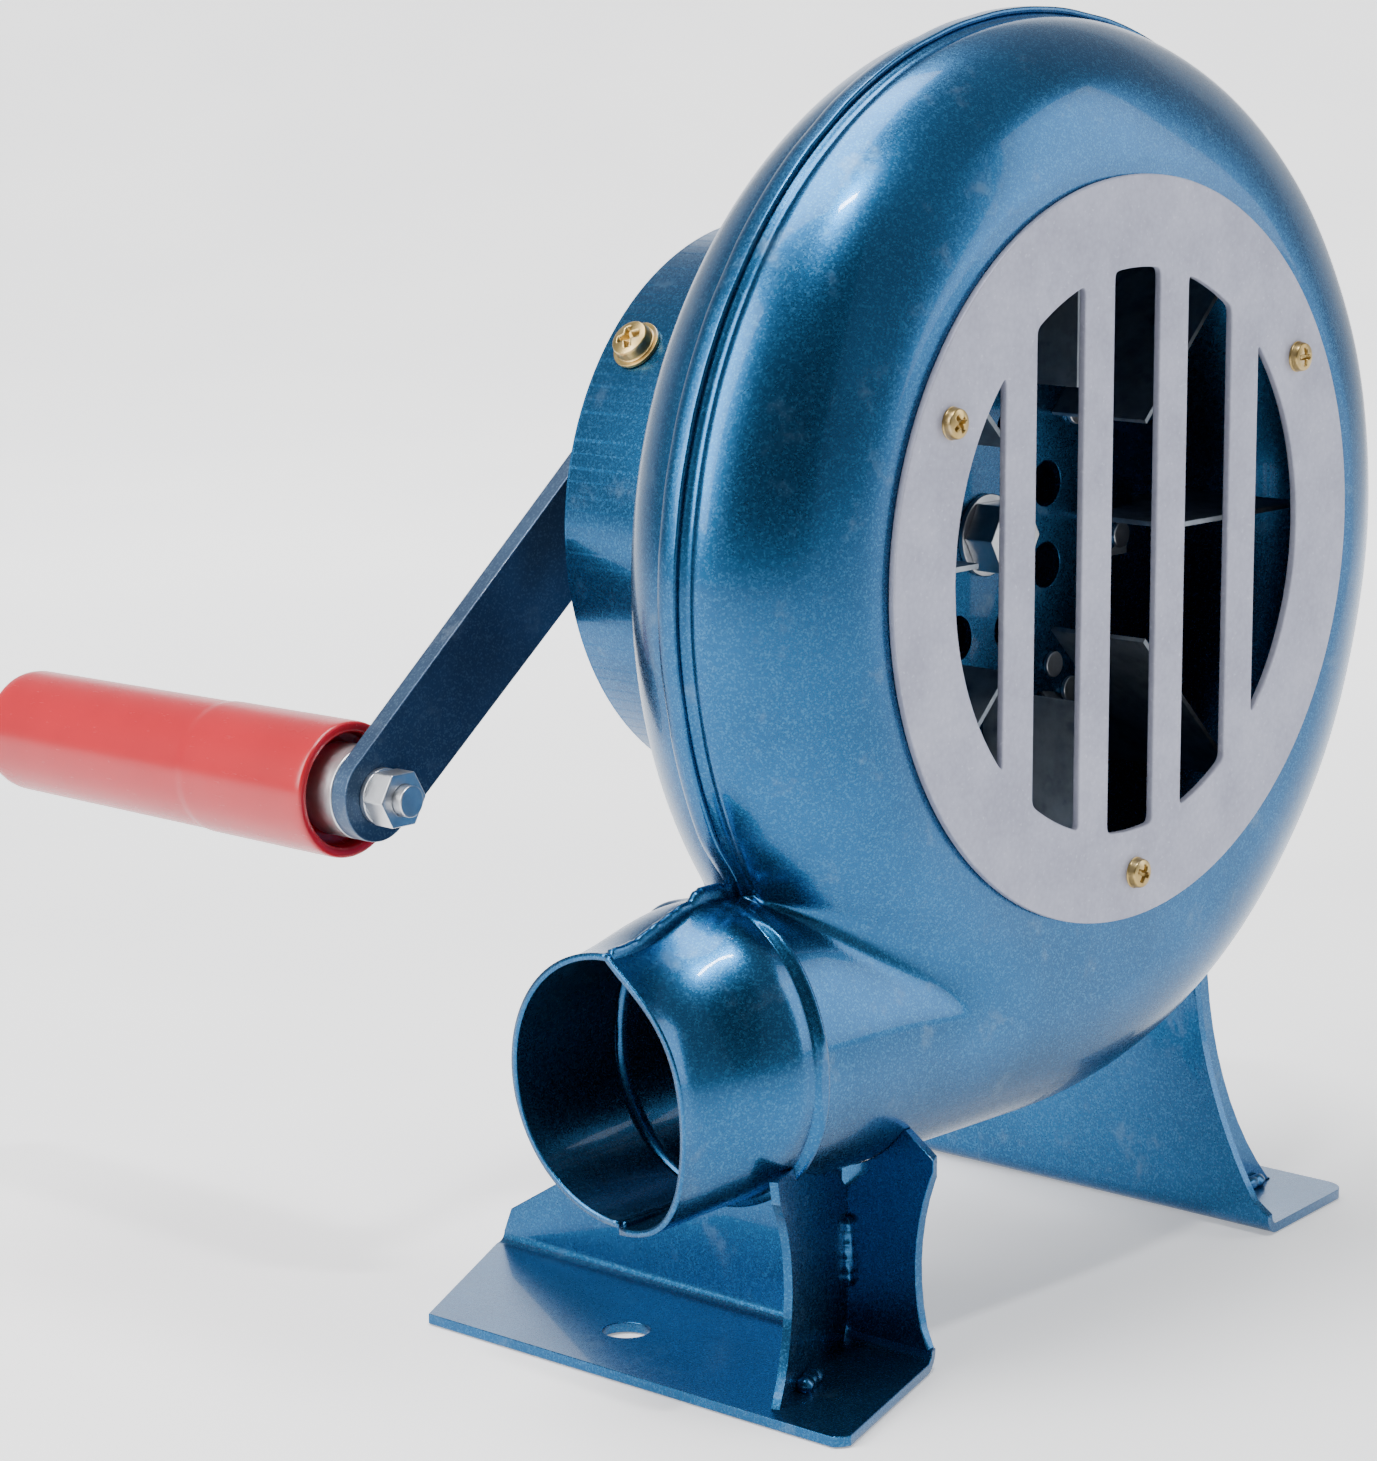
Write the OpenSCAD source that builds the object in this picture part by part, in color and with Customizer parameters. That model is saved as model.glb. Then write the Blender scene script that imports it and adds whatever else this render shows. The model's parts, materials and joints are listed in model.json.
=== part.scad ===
// Hand-cranked centrifugal blower for a coal forge, on two sheet-metal feet.
// +Z is up. The fan axis runs along Y, the intake grille faces -Y, the crank is at +Y
// and the outlet pipe points to -X. The origin lies on the bench, midway between the
// two foot bolt holes.

/* [Casing] */
// Height of the fan axis above the bench
axis_h = 145; // [132:1:175]
// Radius of the pressed bowls at their seam
casing_r = 99; // [90:1:110]
// How much wider the scroll is where it runs into the outlet
scroll_growth = 11.5; // [6:0.5:14]
// Depth of the front bowl
front_depth = 25.6; // [25.5:0.1:32]
// Radius of the flat face of the front bowl
front_flat_r = 72; // [66:1:78]
// Depth of the rear bowl
rear_depth = 26; // [25.5:0.1:32]
// Radius of the flat face of the rear bowl
rear_flat_r = 63; // [58:1:68]
// Thickness of the pressed sheet
sheet = 1.2; // [0.8:0.1:2]
// Radius of the intake hole
intake_r = 56; // [45:1:58]

/* [Outlet] */
// Outer radius of the outlet pipe
pipe_r = 25; // [20:0.5:25]
// Distance from the fan axis to the pipe mouth
pipe_reach = 112.5; // [105:0.5:140]
// Distance from the pipe mouth to the raised bead
bead_inset = 26; // [15:1:30]
// Radius of the bead's round section
bead_r = 1.8; // [1:0.1:2.5]

/* [Grille] */
// Radius of the intake grille plate
grille_r = 70; // [64:0.5:72]
// Thickness of the grille plate
grille_t = 1.5; // [1:0.1:3]
// Radius of the ring of windows
window_r = 53; // [40:1:55]
// Number of upright windows
window_count = 5; // [3:1:9]
// Width of the bars between the windows
bar_w = 9; // [5:0.5:12]
// Radius of the grille's screw circle
grille_screw_circle = 61.5; // [58:0.5:64]

/* [Feet] */
// Thickness of the foot plates
foot_t = 2; // [1.5:0.1:3]
// Inner radius of the fold
fold_r = 2; // [1:0.5:4]
// Distance from the fan axis to the left web
left_web_x = 58; // [50:1:70]
// Distance from the fan axis to the right web
right_web_x = 50.5; // [40:0.5:60]
// Reach of the left flange past its web
left_flange_w = 43; // [30:1:50]
// Reach of the right flange past its web
right_flange_w = 33; // [28:1:50]
// Reach of the feet towards the intake side of the seam
foot_front = 26; // [22:1:40]
// Reach of the feet towards the crank side of the seam
foot_rear = 83; // [70:1:90]
// Distance between the two bolt holes
hole_span = 150; // [140:1:160]
// Radius of each bolt hole
hole_r = 4.5; // [3:0.5:6]

/* [Gear case] */
// Outer radius of the gear case
case_r = 56.3; // [54:0.1:62]
// Depth of the gear case
case_depth = 37.6; // [36:0.1:46]
// Thickness of the gear case's sheet
case_t = 1.5; // [1:0.1:2]
// Distance of the case screws from the rear edge of the gear case
case_screw_inset = 8.1; // [4.6:0.1:9.6]

/* [Gears] */
// Gear module
gear_module = 1; // [1:1:1]
// Teeth on each of the two large wheels
wheel_teeth = 48; // [44:1:50]
// Teeth on each of the two pinions
pinion_teeth = 12; // [12:1:13]
// Crank shaft's distance to the outlet side of the fan axis
crank_dx = 20; // [17:1:22]
// Crank shaft's height above the fan axis
crank_dz = 24; // [20:1:25]
// Play between meshing teeth
backlash = 0.22; // [0.1:0.02:0.3]
// Radial play of every turning fit
running_gap = 0.05; // [0.03:0.01:0.08]

/* [Crank] */
// Length of the arm between its two centres
arm_length = 106.5; // [90:0.5:125]
// Angle of the arm below the horizontal at rest
arm_angle = 39.5; // [20:0.5:60]
// Width of the arm at the grip
arm_tip_w = 17.6; // [15:0.1:22]
// Width of the arm at the crank shaft
arm_root_w = 20.4; // [16:0.1:26]
// Thickness of the arm
arm_t = 4; // [3:0.5:5]
// Radius of the crank shaft
crank_shaft_r = 5; // [4:0.5:6]
// Radius of the fan shaft
fan_shaft_r = 4; // [3.8:0.1:4.5]

/* [Grip] */
// Length of the grip
grip_len = 94; // [70:1:120]
// Radius of the grip at the arm
grip_r = 13.1; // [12:0.1:16]
// Radius of the grip at its free end
grip_end_r = 12.3; // [11:0.1:16]
// Radius of the grip's bolt
grip_bolt_r = 3; // [2.5:0.1:4]

/* [Impeller] */
// Radius of the impeller
impeller_r = 74; // [60:1:80]
// Number of blades
blade_count = 8; // [6:1:10]
// Width of each blade along the shaft
blade_w = 30; // [20:1:32]

/* [Hidden] */
$fn = 96;

// frame: the origin sits midway between the foot holes, the seam is the plane Y = seam_y
left_hole_x = -(left_web_x + left_flange_w * 0.56);
fan_x = -(left_hole_x + hole_span / 2);
seam_y = -27;

// casing
scroll_r = casing_r + scroll_growth;
pipe_h = axis_h - scroll_r + pipe_r;
profile_steps = 10;
plate_gap = 0.05;
tongue_angle = 212;
rim_band = 1.2;
rear_face = rear_depth;

// grille
// the windows share what the bars leave of the ring's width
window_w = (2 * window_r - (window_count - 1) * bar_w) / window_count;
grille_screw_angles = [32, 152, 272];
grille_screw_r = 1.5;

// gear case and its stack along Y, measured from the seam
case_x = -2.5;
case_z = axis_h + 2;
case_back = rear_face + case_depth;
cover_skirt = 12;
base_back = rear_face + case_t;
pitch_r = gear_module * wheel_teeth / 2;
pinion_pitch_r = gear_module * pinion_teeth / 2;
centre_d = pitch_r + pinion_pitch_r;
fan_mesh_y = base_back + 6;
crank_mesh_y = fan_mesh_y + 12.5;
face_w = 6;
wheel_addendum = 0.7;
pinion_addendum = 0.9;
dedendum = 1.1;
pressure_angle = 20;
flank_steps = 3;
bush_wall = 3;
flange_t = 2;
fan_rear_r = fan_shaft_r - 0.5;
crank_front_r = 3;
idler_shaft_r = 3;
case_screw_angles = [22, 142, 262];
case_screw_r = 2;
case_rivet_angles = [60, 190, 320];

// shaft positions in the plane of the wheels
fan_c = [0, axis_h];
crank_c = [-crank_dx, axis_h + crank_dz];
shaft_d = norm(crank_c - fan_c);
to_crank = (crank_c - fan_c) / shaft_d;
idler_side = sqrt(centre_d * centre_d - shaft_d * shaft_d / 4);
idler_c = (fan_c + crank_c) / 2 + idler_side * [-to_crank[1], to_crank[0]];
grip_c = crank_c - arm_length * [cos(arm_angle), sin(arm_angle)];

// crank stack along Y
cover_bush_back = case_back + 3.4;
arm_y = cover_bush_back + 3;
arm_back = arm_y + arm_t;
grip_y = arm_back + 4;
recess_depth = 4.4;
recess_r = 11;
sleeve_r = 8.8;
end_gap = 0.4;
grip_back = grip_y + grip_len;
head_bore_r = 8;
head_bore_depth = 12;

// impeller stack along Y
plate_y = 8.5;
plate_t = 1.5;
blade_t = 1;
blade_front = plate_y - blade_w * 0.75;
blade_root_r = 30;
hub_r = 9;
rivet_r = 1.5;

blue = [0.16, 0.36, 0.56];
slate = [0.18, 0.26, 0.4];
zinc = [0.78, 0.79, 0.8];
bronze = [0.66, 0.5, 0.27];
steel = [0.55, 0.56, 0.58];

// shared shapes
// puts the fan axis and the seam plane where the frame wants them
module in_frame() { translate([fan_x, seam_y, 0]) children(); }

// turns a shape drawn in XY and raised along Z so that it lies in XZ and grows towards -Y
module facing_front() { rotate([90, 0, 0]) children(); }

// a rod along +Y, starting at y, centred on c = [x, z]
module rod(c, y, len, r) { translate([c[0], y, c[1]]) rotate([-90, 0, 0]) cylinder(h = len, r = r); }

// a tapered rod along +Y
module taper(c, y, len, r1, r2) {
  translate([c[0], y, c[1]]) rotate([-90, 0, 0]) cylinder(h = len, r1 = r1, r2 = r2);
}

// a tube along +Y
module tube(c, y, len, r, bore) {
  difference() {
    rod(c, y, len, r);
    rod(c, y - 1, len + 2, bore);
  }
}

// a hexagonal nut along +Y, given its width across flats
module hex_nut(c, y, len, flats, bore) {
  difference() {
    translate([c[0], y, c[1]]) rotate([-90, 0, 0]) cylinder(h = len, r = flats / 2 / cos(30), $fn = 6);
    rod(c, y - 1, len + 2, bore);
  }
}

// half section of a pressed bowl: flat face of radius flat, rounded out to radius rim
function bowl_section(rim, flat, depth) = concat(
  [[0, 0]],
  [for (i = [0:profile_steps]) let (a = 90 * i / profile_steps)
    [flat + (rim - flat) * cos(a), depth * sin(a)]],
  [[0, depth]]
);

// solid bowl with its scroll quadrant and half pipe, growing towards -Y from the seam
module bowl_body(flat, depth, inset) {
  flat_gap = casing_r - flat;
  translate([0, 0, axis_h]) facing_front() {
    rotate_extrude(angle = 270) polygon(bowl_section(casing_r - inset, flat, depth - inset));
    translate([-scroll_growth, 0, 0]) rotate_extrude(angle = 90, start = 270)
      polygon(bowl_section(scroll_r - inset, scroll_r - flat_gap, depth - inset));
  }
}

// round body of the outlet pipe, from the mouth to the start of the scroll
module pipe_body(inset, extra) {
  translate([-pipe_reach - extra, 0, pipe_h]) rotate([0, 90, 0])
    cylinder(h = pipe_reach + extra - scroll_growth, r = pipe_r - inset);
}

module bead(extra) {
  translate([-pipe_reach + bead_inset, 0, pipe_h]) rotate([0, 90, 0])
    rotate_extrude() translate([pipe_r - bead_r / 4, 0]) circle(r = bead_r + extra, $fn = 32);
}

// everything on the intake side of the seam
module front_half() { translate([-300, -100, -100]) cube([600, 100, 500]); }

// everything on the crank side of the seam
module rear_half() { translate([-300, 0, -100]) cube([600, 100, 500]); }

// hollow pressed shell of one side, drawn towards -Y
module pressed_shell(flat, depth) {
  intersection() {
    difference() {
      union() {
        bowl_body(flat, depth, 0);
        pipe_body(0, 0);
        bead(0);
      }
      bowl_body(flat, depth, sheet);
      pipe_body(sheet, 1);
    }
    front_half();
  }
}

// rolled lip of the rear bowl, drawn as a half section of radius rim
module rolled_lip(rim, extra) {
  polygon([
    [rim - sheet, 0], [rim + plate_gap, 0], [rim + plate_gap, 2.5 + extra],
    [rim + rim_band + extra, 2.5 + extra], [rim + rim_band + extra, -1 - extra],
    [rim - sheet, -1 - extra]
  ]);
}

module lip_ring(extra) {
  translate([0, 0, axis_h]) facing_front() {
    rotate_extrude(angle = tongue_angle) rolled_lip(casing_r, extra);
    translate([-scroll_growth, 0, 0]) rotate_extrude(angle = 84, start = 276) rolled_lip(scroll_r, extra);
  }
}

// the casing's outside, a hair larger, for trimming what is welded under it
module casing_clear() {
  bowl_body(front_flat_r, front_depth, -plate_gap);
  mirror([0, 1, 0]) bowl_body(rear_flat_r, rear_depth, -plate_gap);
  pipe_body(-plate_gap, 0);
  bead(plate_gap);
  lip_ring(plate_gap);
}

// casing
module front_shell() {
  color(blue) in_frame() difference() {
    pressed_shell(front_flat_r, front_depth);
    rod(fan_c, -front_depth - 1, 3, intake_r);
    for (a = grille_screw_angles)
      rod(fan_c + grille_screw_circle * [cos(a), sin(a)], -front_depth - 1, 3, grille_screw_r + plate_gap);
  }
}

module rear_shell() {
  color(blue) in_frame() {
    difference() {
      mirror([0, 1, 0]) pressed_shell(rear_flat_r, rear_depth);
      rod(fan_c, rear_depth - 3, 4, fan_shaft_r + bush_wall + plate_gap);
      for (a = case_rivet_angles)
        rod(case_point(case_r - 12, a), rear_depth - 3, 4, 2);
    }
    lip_ring(0);
  }
}

// the narrow lip where the two halves of the pipe are welded along its top and bottom
module seam_flange() {
  lip_h = 2.4;
  lip_t = 1.2;
  tongue = casing_r * cos(180 - tongue_angle);
  color(blue) in_frame() difference() {
    union() {
      translate([-pipe_reach + 1, -lip_t, pipe_h + pipe_r - 0.6])
        cube([pipe_reach - tongue + 3, 2 * lip_t, lip_h + 0.6]);
      translate([-pipe_reach + 1, -lip_t, pipe_h - pipe_r - lip_h])
        cube([bead_inset - 3, 2 * lip_t, lip_h + 0.6]);
      translate([-tongue - 9, -lip_t, pipe_h + pipe_r - 0.6]) cube([11, 2 * lip_t, 8]);
    }
    casing_clear();
  }
}

module intake_grille() {
  color(zinc) in_frame() difference() {
    rod(fan_c, -front_depth - grille_t, grille_t, grille_r);
    intersection() {
      rod(fan_c, -front_depth - grille_t - 1, grille_t + 2, window_r);
      for (i = [0:window_count - 1])
        translate([-window_r + i * (window_w + bar_w), -front_depth - grille_t - 1, axis_h - window_r])
          cube([window_w, grille_t + 2, 2 * window_r]);
    }
    for (a = grille_screw_angles)
      rod(fan_c + grille_screw_circle * [cos(a), sin(a)], -front_depth - grille_t - 1, grille_t + 2,
          grille_screw_r + plate_gap);
  }
}

// pan-head screw pointing along +Y, its head's underside at y
module pan_screw(c, y, len, r, head_r, head_h) {
  difference() {
    union() {
      rod(c, y, len, r);
      taper(c, y - head_h * 0.45, head_h * 0.45, head_r, head_r);
      taper(c, y - head_h, head_h * 0.55, head_r * 0.6, head_r);
    }
    for (turn = [0, 90])
      translate([c[0], y - head_h, c[1]]) rotate([0, turn + 20, 0])
        cube([head_r * 1.1, head_h * 0.9, head_r * 0.28], center = true);
  }
}

module grille_screws() {
  color("gold") in_frame() for (a = grille_screw_angles)
    pan_screw(fan_c + grille_screw_circle * [cos(a), sin(a)], -front_depth - grille_t, 8,
              grille_screw_r, 3, 2.2);
}

// feet
// the feet's outlines are drawn for this height of the fan axis
drawn_axis_h = 145;
foot_lift = axis_h - drawn_axis_h;

// outline stretched upwards, above the fold, so that its top follows the casing
function raised(points) =
  let (low = fold_r + foot_t + 1, span = 30)
  [for (p = points) [p[0], p[1] + foot_lift * min(1, max(0, (p[1] - low) / span))]];

// folded plate in the XZ plane: web at x = 0 to foot_t, flange towards -X, pulled along Y
module folded_strip(flange_w, y0, y1) {
  bend = fold_r + foot_t;
  height = 80 + foot_lift;
  translate([0, y1, 0]) facing_front() linear_extrude(y1 - y0) union() {
    translate([0, bend]) square([foot_t, height]);
    translate([-flange_w, 0]) square([flange_w - fold_r, foot_t]);
    difference() {
      intersection() {
        translate([-fold_r, bend]) circle(r = bend);
        translate([-fold_r, 0]) square([bend, bend]);
      }
      translate([-fold_r, bend]) circle(r = fold_r);
    }
  }
}

// points of an arc through the corner between two cut edges
function arc_points(cx, cy, r, a0, a1, n) =
  [for (i = [0:n]) let (a = a0 + (a1 - a0) * i / n) [cx + r * cos(a), cy + r * sin(a)]];

// plan outline that trims the flange: its ends run in towards the outer edge
module flange_plan(flange_w, near_skew, far_skew) {
  corner = 5;
  translate([0, 0, -1]) linear_extrude(200) polygon(concat(
    [[foot_t + 1, -foot_front], [foot_t + 1, foot_rear], [-fold_r, foot_rear],
     [-flange_w, foot_rear - far_skew]],
    arc_points(-flange_w + corner, -foot_front - near_skew + corner, corner, 180, 256, 6)
  ));
}

// side outline that trims the web; top = height of the front tip, waist = its narrowest front reach
module web_side(front_points, top) {
  translate([-100, 0, 0]) rotate([90, 0, 90]) linear_extrude(200) polygon(raised(concat(
    [[-foot_front - 40, -1], [-foot_front - 40, fold_r + foot_t], [-foot_front, fold_r + foot_t]],
    front_points,
    [[20, top], [foot_rear - 2, 9], [foot_rear, fold_r + foot_t], [foot_rear + 10, -1]]
  )));
}

function left_front_edge() = concat(
  arc_points(-foot_front - 44, 19, 47, -14, 26, 8), [[-18, 46]]);
function right_front_edge() = concat(
  arc_points(-foot_front - 80, 61, 100, -33, -12, 8), [[-4, 66]]);

module left_foot() {
  color(blue) in_frame() difference() {
    intersection() {
      translate([-left_web_x, 0, 0]) {
        intersection() {
          folded_strip(left_flange_w, -foot_front - 20, foot_rear);
          flange_plan(left_flange_w, 15, 22);
        }
      }
      web_side(left_front_edge(), 46);
    }
    casing_clear();
    translate([left_hole_x, -seam_y, -1]) cylinder(h = foot_t + 2, r = hole_r);
  }
}

module right_foot() {
  color(blue) in_frame() difference() {
    intersection() {
      translate([right_web_x, 0, 0]) mirror([1, 0, 0]) translate([-foot_t, 0, 0]) {
        intersection() {
          folded_strip(right_flange_w, -foot_front - 20, foot_rear);
          flange_plan(right_flange_w, -4, 20);
        }
      }
      web_side(right_front_edge(), 66);
    }
    casing_clear();
    translate([left_hole_x + hole_span, -seam_y, -1]) cylinder(h = foot_t + 2, r = hole_r);
  }
}

gusset_y = -6;
gusset_t = 1.6;
left_gusset_skew = 23.5;

// upright plate in XZ, drawn from the web at x = 0 and turned by skew about that edge
module gusset(x, skew, outline) {
  translate([x, gusset_y, 0]) rotate(skew) translate([0, gusset_t / 2, 0])
    facing_front() linear_extrude(gusset_t) polygon(raised(outline));
}

module left_gusset() {
  waist = 33.7;
  reach = waist + 7.6;
  bow_r = 27.6;
  color(blue) in_frame() difference() {
    gusset(-left_web_x - 0.4, left_gusset_skew, concat(
      [[0, fold_r + foot_t + 1], [-fold_r, foot_t + 0.02], [-reach, foot_t + 0.02]],
      arc_points(-waist - bow_r, 21, bow_r, -42, 42, 10),
      [[-reach - 1, 44], [-3.5, 44], [-3.5, 33.5], [0, 31]]
    ));
    casing_clear();
  }
}

module right_gusset() {
  color(blue) in_frame() difference() {
    gusset(right_web_x + foot_t + 0.02, 0, concat(
      [[0, fold_r + foot_t + 1], [fold_r, foot_t + 0.02], [27, foot_t + 0.02]],
      arc_points(86, 61, 84, 224, 183, 10),
      [[0, 66]]
    ));
    casing_clear();
  }
}

// short weld beads that hold the gussets to their flanges
module foot_welds() {
  weld_r = 1.4;
  offset_r = weld_r + 0.02;
  color(blue) in_frame() {
    translate([-left_web_x - 0.4, gusset_y, 0]) rotate(left_gusset_skew) for (x = [-37, -29])
      translate([x, -gusset_t / 2 - offset_r, foot_t + offset_r]) rotate([0, 90, 0])
        cylinder(h = 6, r = weld_r, $fn = 24);
    for (x = [13, 20])
      translate([right_web_x + foot_t + x, gusset_y - gusset_t / 2 - offset_r, foot_t + offset_r])
        rotate([0, 90, 0]) cylinder(h = 5, r = weld_r, $fn = 24);
  }
}

// gear case
function case_point(r, a) = [case_x + r * cos(a), case_z + r * sin(a)];
case_c = [case_x, case_z];

module gear_case() {
  color(blue) in_frame() difference() {
    rod(case_c, rear_face, case_depth, case_r);
    rod(case_c, base_back, case_depth, case_r - case_t);
    rod(fan_c, rear_face - 1, 4, fan_shaft_r + bush_wall + plate_gap);
    rod(crank_c, rear_face - 1, 4, crank_front_r + bush_wall + plate_gap);
    rod(idler_c, rear_face - 1, 4, idler_shaft_r + plate_gap);
    for (a = case_rivet_angles) rod(case_point(case_r - 12, a), rear_face - 1, 4, 2);
    for (a = case_screw_angles) radial(a) cylinder(h = case_r + 5, r = case_screw_r + plate_gap);
  }
}

// points +Z outwards along the case's radius at angle a, level with the case screws
module radial(a) {
  translate([case_x, case_back - case_screw_inset, case_z]) rotate([0, 90 - a, 0]) children();
}

// rivets that hold the gear case to the rear bowl
module case_rivets() {
  color(zinc) in_frame() for (a = case_rivet_angles) {
    rod(case_point(case_r - 12, a), rear_face - sheet - 1, sheet + case_t + 2, 2 - plate_gap);
    rod(case_point(case_r - 12, a), rear_face - sheet - 2, 2, 3.5);
    rod(case_point(case_r - 12, a), base_back, 1.8, 3.5);
  }
}

module gear_cover() {
  inner = case_r - case_t - plate_gap;
  color(blue) in_frame() difference() {
    rod(case_c, case_back - cover_skirt, cover_skirt, inner);
    rod(case_c, case_back - cover_skirt - 1, cover_skirt + 1 - case_t, inner - 1.2);
    rod(fan_c, case_back - 3, 4, fan_rear_r + bush_wall + plate_gap);
    rod(crank_c, case_back - 3, 4, crank_shaft_r + bush_wall + plate_gap);
    rod(idler_c, case_back - 3, 4, idler_shaft_r + plate_gap);
    for (a = case_screw_angles) radial(a) cylinder(h = case_r + 5, r = case_screw_r + plate_gap);
  }
}

module cover_screws() {
  head_r = 4.2;
  head_h = 3;
  seat = case_r + 0.8;
  color("gold") in_frame() for (a = case_screw_angles) radial(a) difference() {
    union() {
      translate([0, 0, seat - 8]) cylinder(h = 8, r = case_screw_r);
      translate([0, 0, seat]) cylinder(h = head_h * 0.4, r = head_r);
      translate([0, 0, seat + head_h * 0.4]) cylinder(h = head_h * 0.6, r1 = head_r, r2 = head_r * 0.6);
    }
    for (turn = [0, 90]) translate([0, 0, seat + head_h]) rotate(turn + 30)
      cube([head_r * 1.1, head_r * 0.26, head_h * 0.9], center = true);
  }
}

module cover_washers() {
  color("gold") in_frame() for (a = case_screw_angles) radial(a) difference() {
    translate([0, 0, case_r + 0.02]) cylinder(h = 0.78, r = 5);
    translate([0, 0, case_r - 2]) cylinder(h = 4, r = case_screw_r + plate_gap);
  }
}

// flanged bush: body from y, flange on the inner side of the plate it sits in
module bush(c, y, len, bore, flange_y) {
  difference() {
    union() {
      rod(c, y, len, bore + bush_wall - running_gap);
      rod(c, flange_y, flange_t, bore + bush_wall + 3);
    }
    rod(c, y - 1, len + 2, bore);
  }
}

module fan_front_bush() {
  color(bronze) in_frame() bush(fan_c, rear_face - 3, 7.5, fan_shaft_r + running_gap, base_back);
}
module fan_rear_bush() {
  color(bronze) in_frame()
    bush(fan_c, case_back - 7, 8, fan_rear_r + running_gap, case_back - case_t - flange_t);
}
module crank_front_bush() {
  color(bronze) in_frame() bush(crank_c, rear_face + 0.1, 5.5, crank_front_r + running_gap, base_back);
}
module crank_rear_bush() {
  color(bronze) in_frame() bush(crank_c, case_back - 7, cover_bush_back - case_back + 7,
    crank_shaft_r + running_gap, case_back - case_t - flange_t);
}

// fixed stub shaft of the idler, headed behind the cover
module idler_shaft() {
  color(steel) in_frame() {
    rod(idler_c, rear_face + 0.1, case_depth + 0.9, idler_shaft_r);
    rod(idler_c, case_back, 1.6, idler_shaft_r + 2);
  }
}

// gears
// involute function, in degrees
function inv(a) = tan(a) * 180 / PI - a;

// half the angle that a tooth spans at radius r
function half_tooth(teeth, r) =
  let (pitch = gear_module * teeth / 2, base = pitch * cos(pressure_angle))
  90 / teeth - backlash / 2 / pitch * 180 / PI + inv(pressure_angle) - inv(acos(min(1, base / r)));

// outline of a spur gear with its first tooth on the +X axis
function gear_outline(teeth, addendum) =
  let (
    pitch = gear_module * teeth / 2,
    base = pitch * cos(pressure_angle),
    root = pitch - dedendum * gear_module,
    tip = pitch + addendum * gear_module,
    low = max(base, root)
  )
  [for (i = [0:teeth - 1], side = [-1, 1], k = [0:flank_steps + 1])
    let (
      step = side < 0 ? k : flank_steps + 1 - k,
      r = step == 0 ? root : low + (tip - low) * (step - 1) / flank_steps,
      a = 360 * i / teeth + side * half_tooth(teeth, max(r, low))
    )
    [r * cos(a), r * sin(a)]];

// spur gear lying in XZ, its face starting at y, turned so that a tooth points at angle a
module spur(c, y, width, teeth, addendum, a, bore) {
  difference() {
    translate([c[0], y + width, c[1]]) facing_front() rotate(a) linear_extrude(width)
      polygon(gear_outline(teeth, addendum));
    rod(c, y - 1, width + 2, bore);
  }
}

function angle_to(from, to) = atan2(to[1] - from[1], to[0] - from[0]);
crank_to_idler = angle_to(crank_c, idler_c);
fan_to_idler = angle_to(fan_c, idler_c);

// round windows that lighten a wheel
module wheel_windows(c, y) {
  for (a = [30:60:330]) rod(c + 14.5 * [cos(a), sin(a)], y - 1, face_w + 2, 4);
}

module crank_gear() {
  color(steel) in_frame() {
    difference() {
      spur(crank_c, crank_mesh_y, face_w, wheel_teeth, wheel_addendum, crank_to_idler, crank_shaft_r);
      wheel_windows(crank_c, crank_mesh_y);
    }
    tube(crank_c, crank_mesh_y + face_w, case_back - 7.5 - crank_mesh_y - face_w, 8.5, crank_shaft_r);
  }
}

module idler_pinion() {
  color(steel) in_frame() {
    spur(idler_c, crank_mesh_y - 2, face_w + 4, pinion_teeth, pinion_addendum,
         crank_to_idler + 180 + 180 / pinion_teeth, idler_shaft_r + running_gap);
    tube(idler_c, fan_mesh_y + face_w, crank_mesh_y - 1.5 - fan_mesh_y - face_w, 4.5,
         idler_shaft_r + running_gap);
    tube(idler_c, crank_mesh_y + face_w + 1.5, 5, 4.5, idler_shaft_r + running_gap);
  }
}

module idler_wheel() {
  color(steel) in_frame() {
    difference() {
      spur(idler_c, fan_mesh_y, face_w, wheel_teeth, wheel_addendum,
           fan_to_idler + 180 + 180 / wheel_teeth, idler_shaft_r + running_gap);
      wheel_windows(idler_c, fan_mesh_y);
    }
    tube(idler_c, base_back + end_gap, fan_mesh_y - base_back - end_gap, 7, idler_shaft_r + running_gap);
  }
}

module fan_pinion() {
  color(steel) in_frame()
    spur(fan_c, fan_mesh_y - 0.5, face_w + 1, pinion_teeth, pinion_addendum, fan_to_idler, fan_rear_r);
}

module fan_shaft() {
  step_y = fan_mesh_y - 0.5;
  color(steel) in_frame() {
    rod(fan_c, 0, step_y, fan_shaft_r);
    rod(fan_c, step_y, case_back + 0.6 - step_y, fan_rear_r);
  }
}

module crank_shaft() {
  step_y = fan_mesh_y + face_w + 2;
  color(steel) in_frame() {
    rod(crank_c, base_back, step_y - base_back, crank_front_r);
    rod(crank_c, step_y, arm_back + 9 - step_y, crank_shaft_r);
  }
}

// impeller
module impeller_plate() {
  color(blue) in_frame() difference() {
    rod(fan_c, plate_y, plate_t, blade_root_r + 18);
    for (i = [0:blade_count - 1]) {
      a = 360 / blade_count * (i + 0.5);
      rod(fan_c + (blade_root_r + 20) * [cos(a), sin(a)], plate_y - 1, plate_t + 2, 13);
      rod(fan_c + 21 * [cos(a), sin(a)], plate_y - 1, plate_t + 2, 4.5);
    }
    at_rivets() cylinder(h = plate_t + 3, r = rivet_r + plate_gap);
    rod(fan_c, plate_y - 1, plate_t + 2, fan_shaft_r);
  }
}

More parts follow.
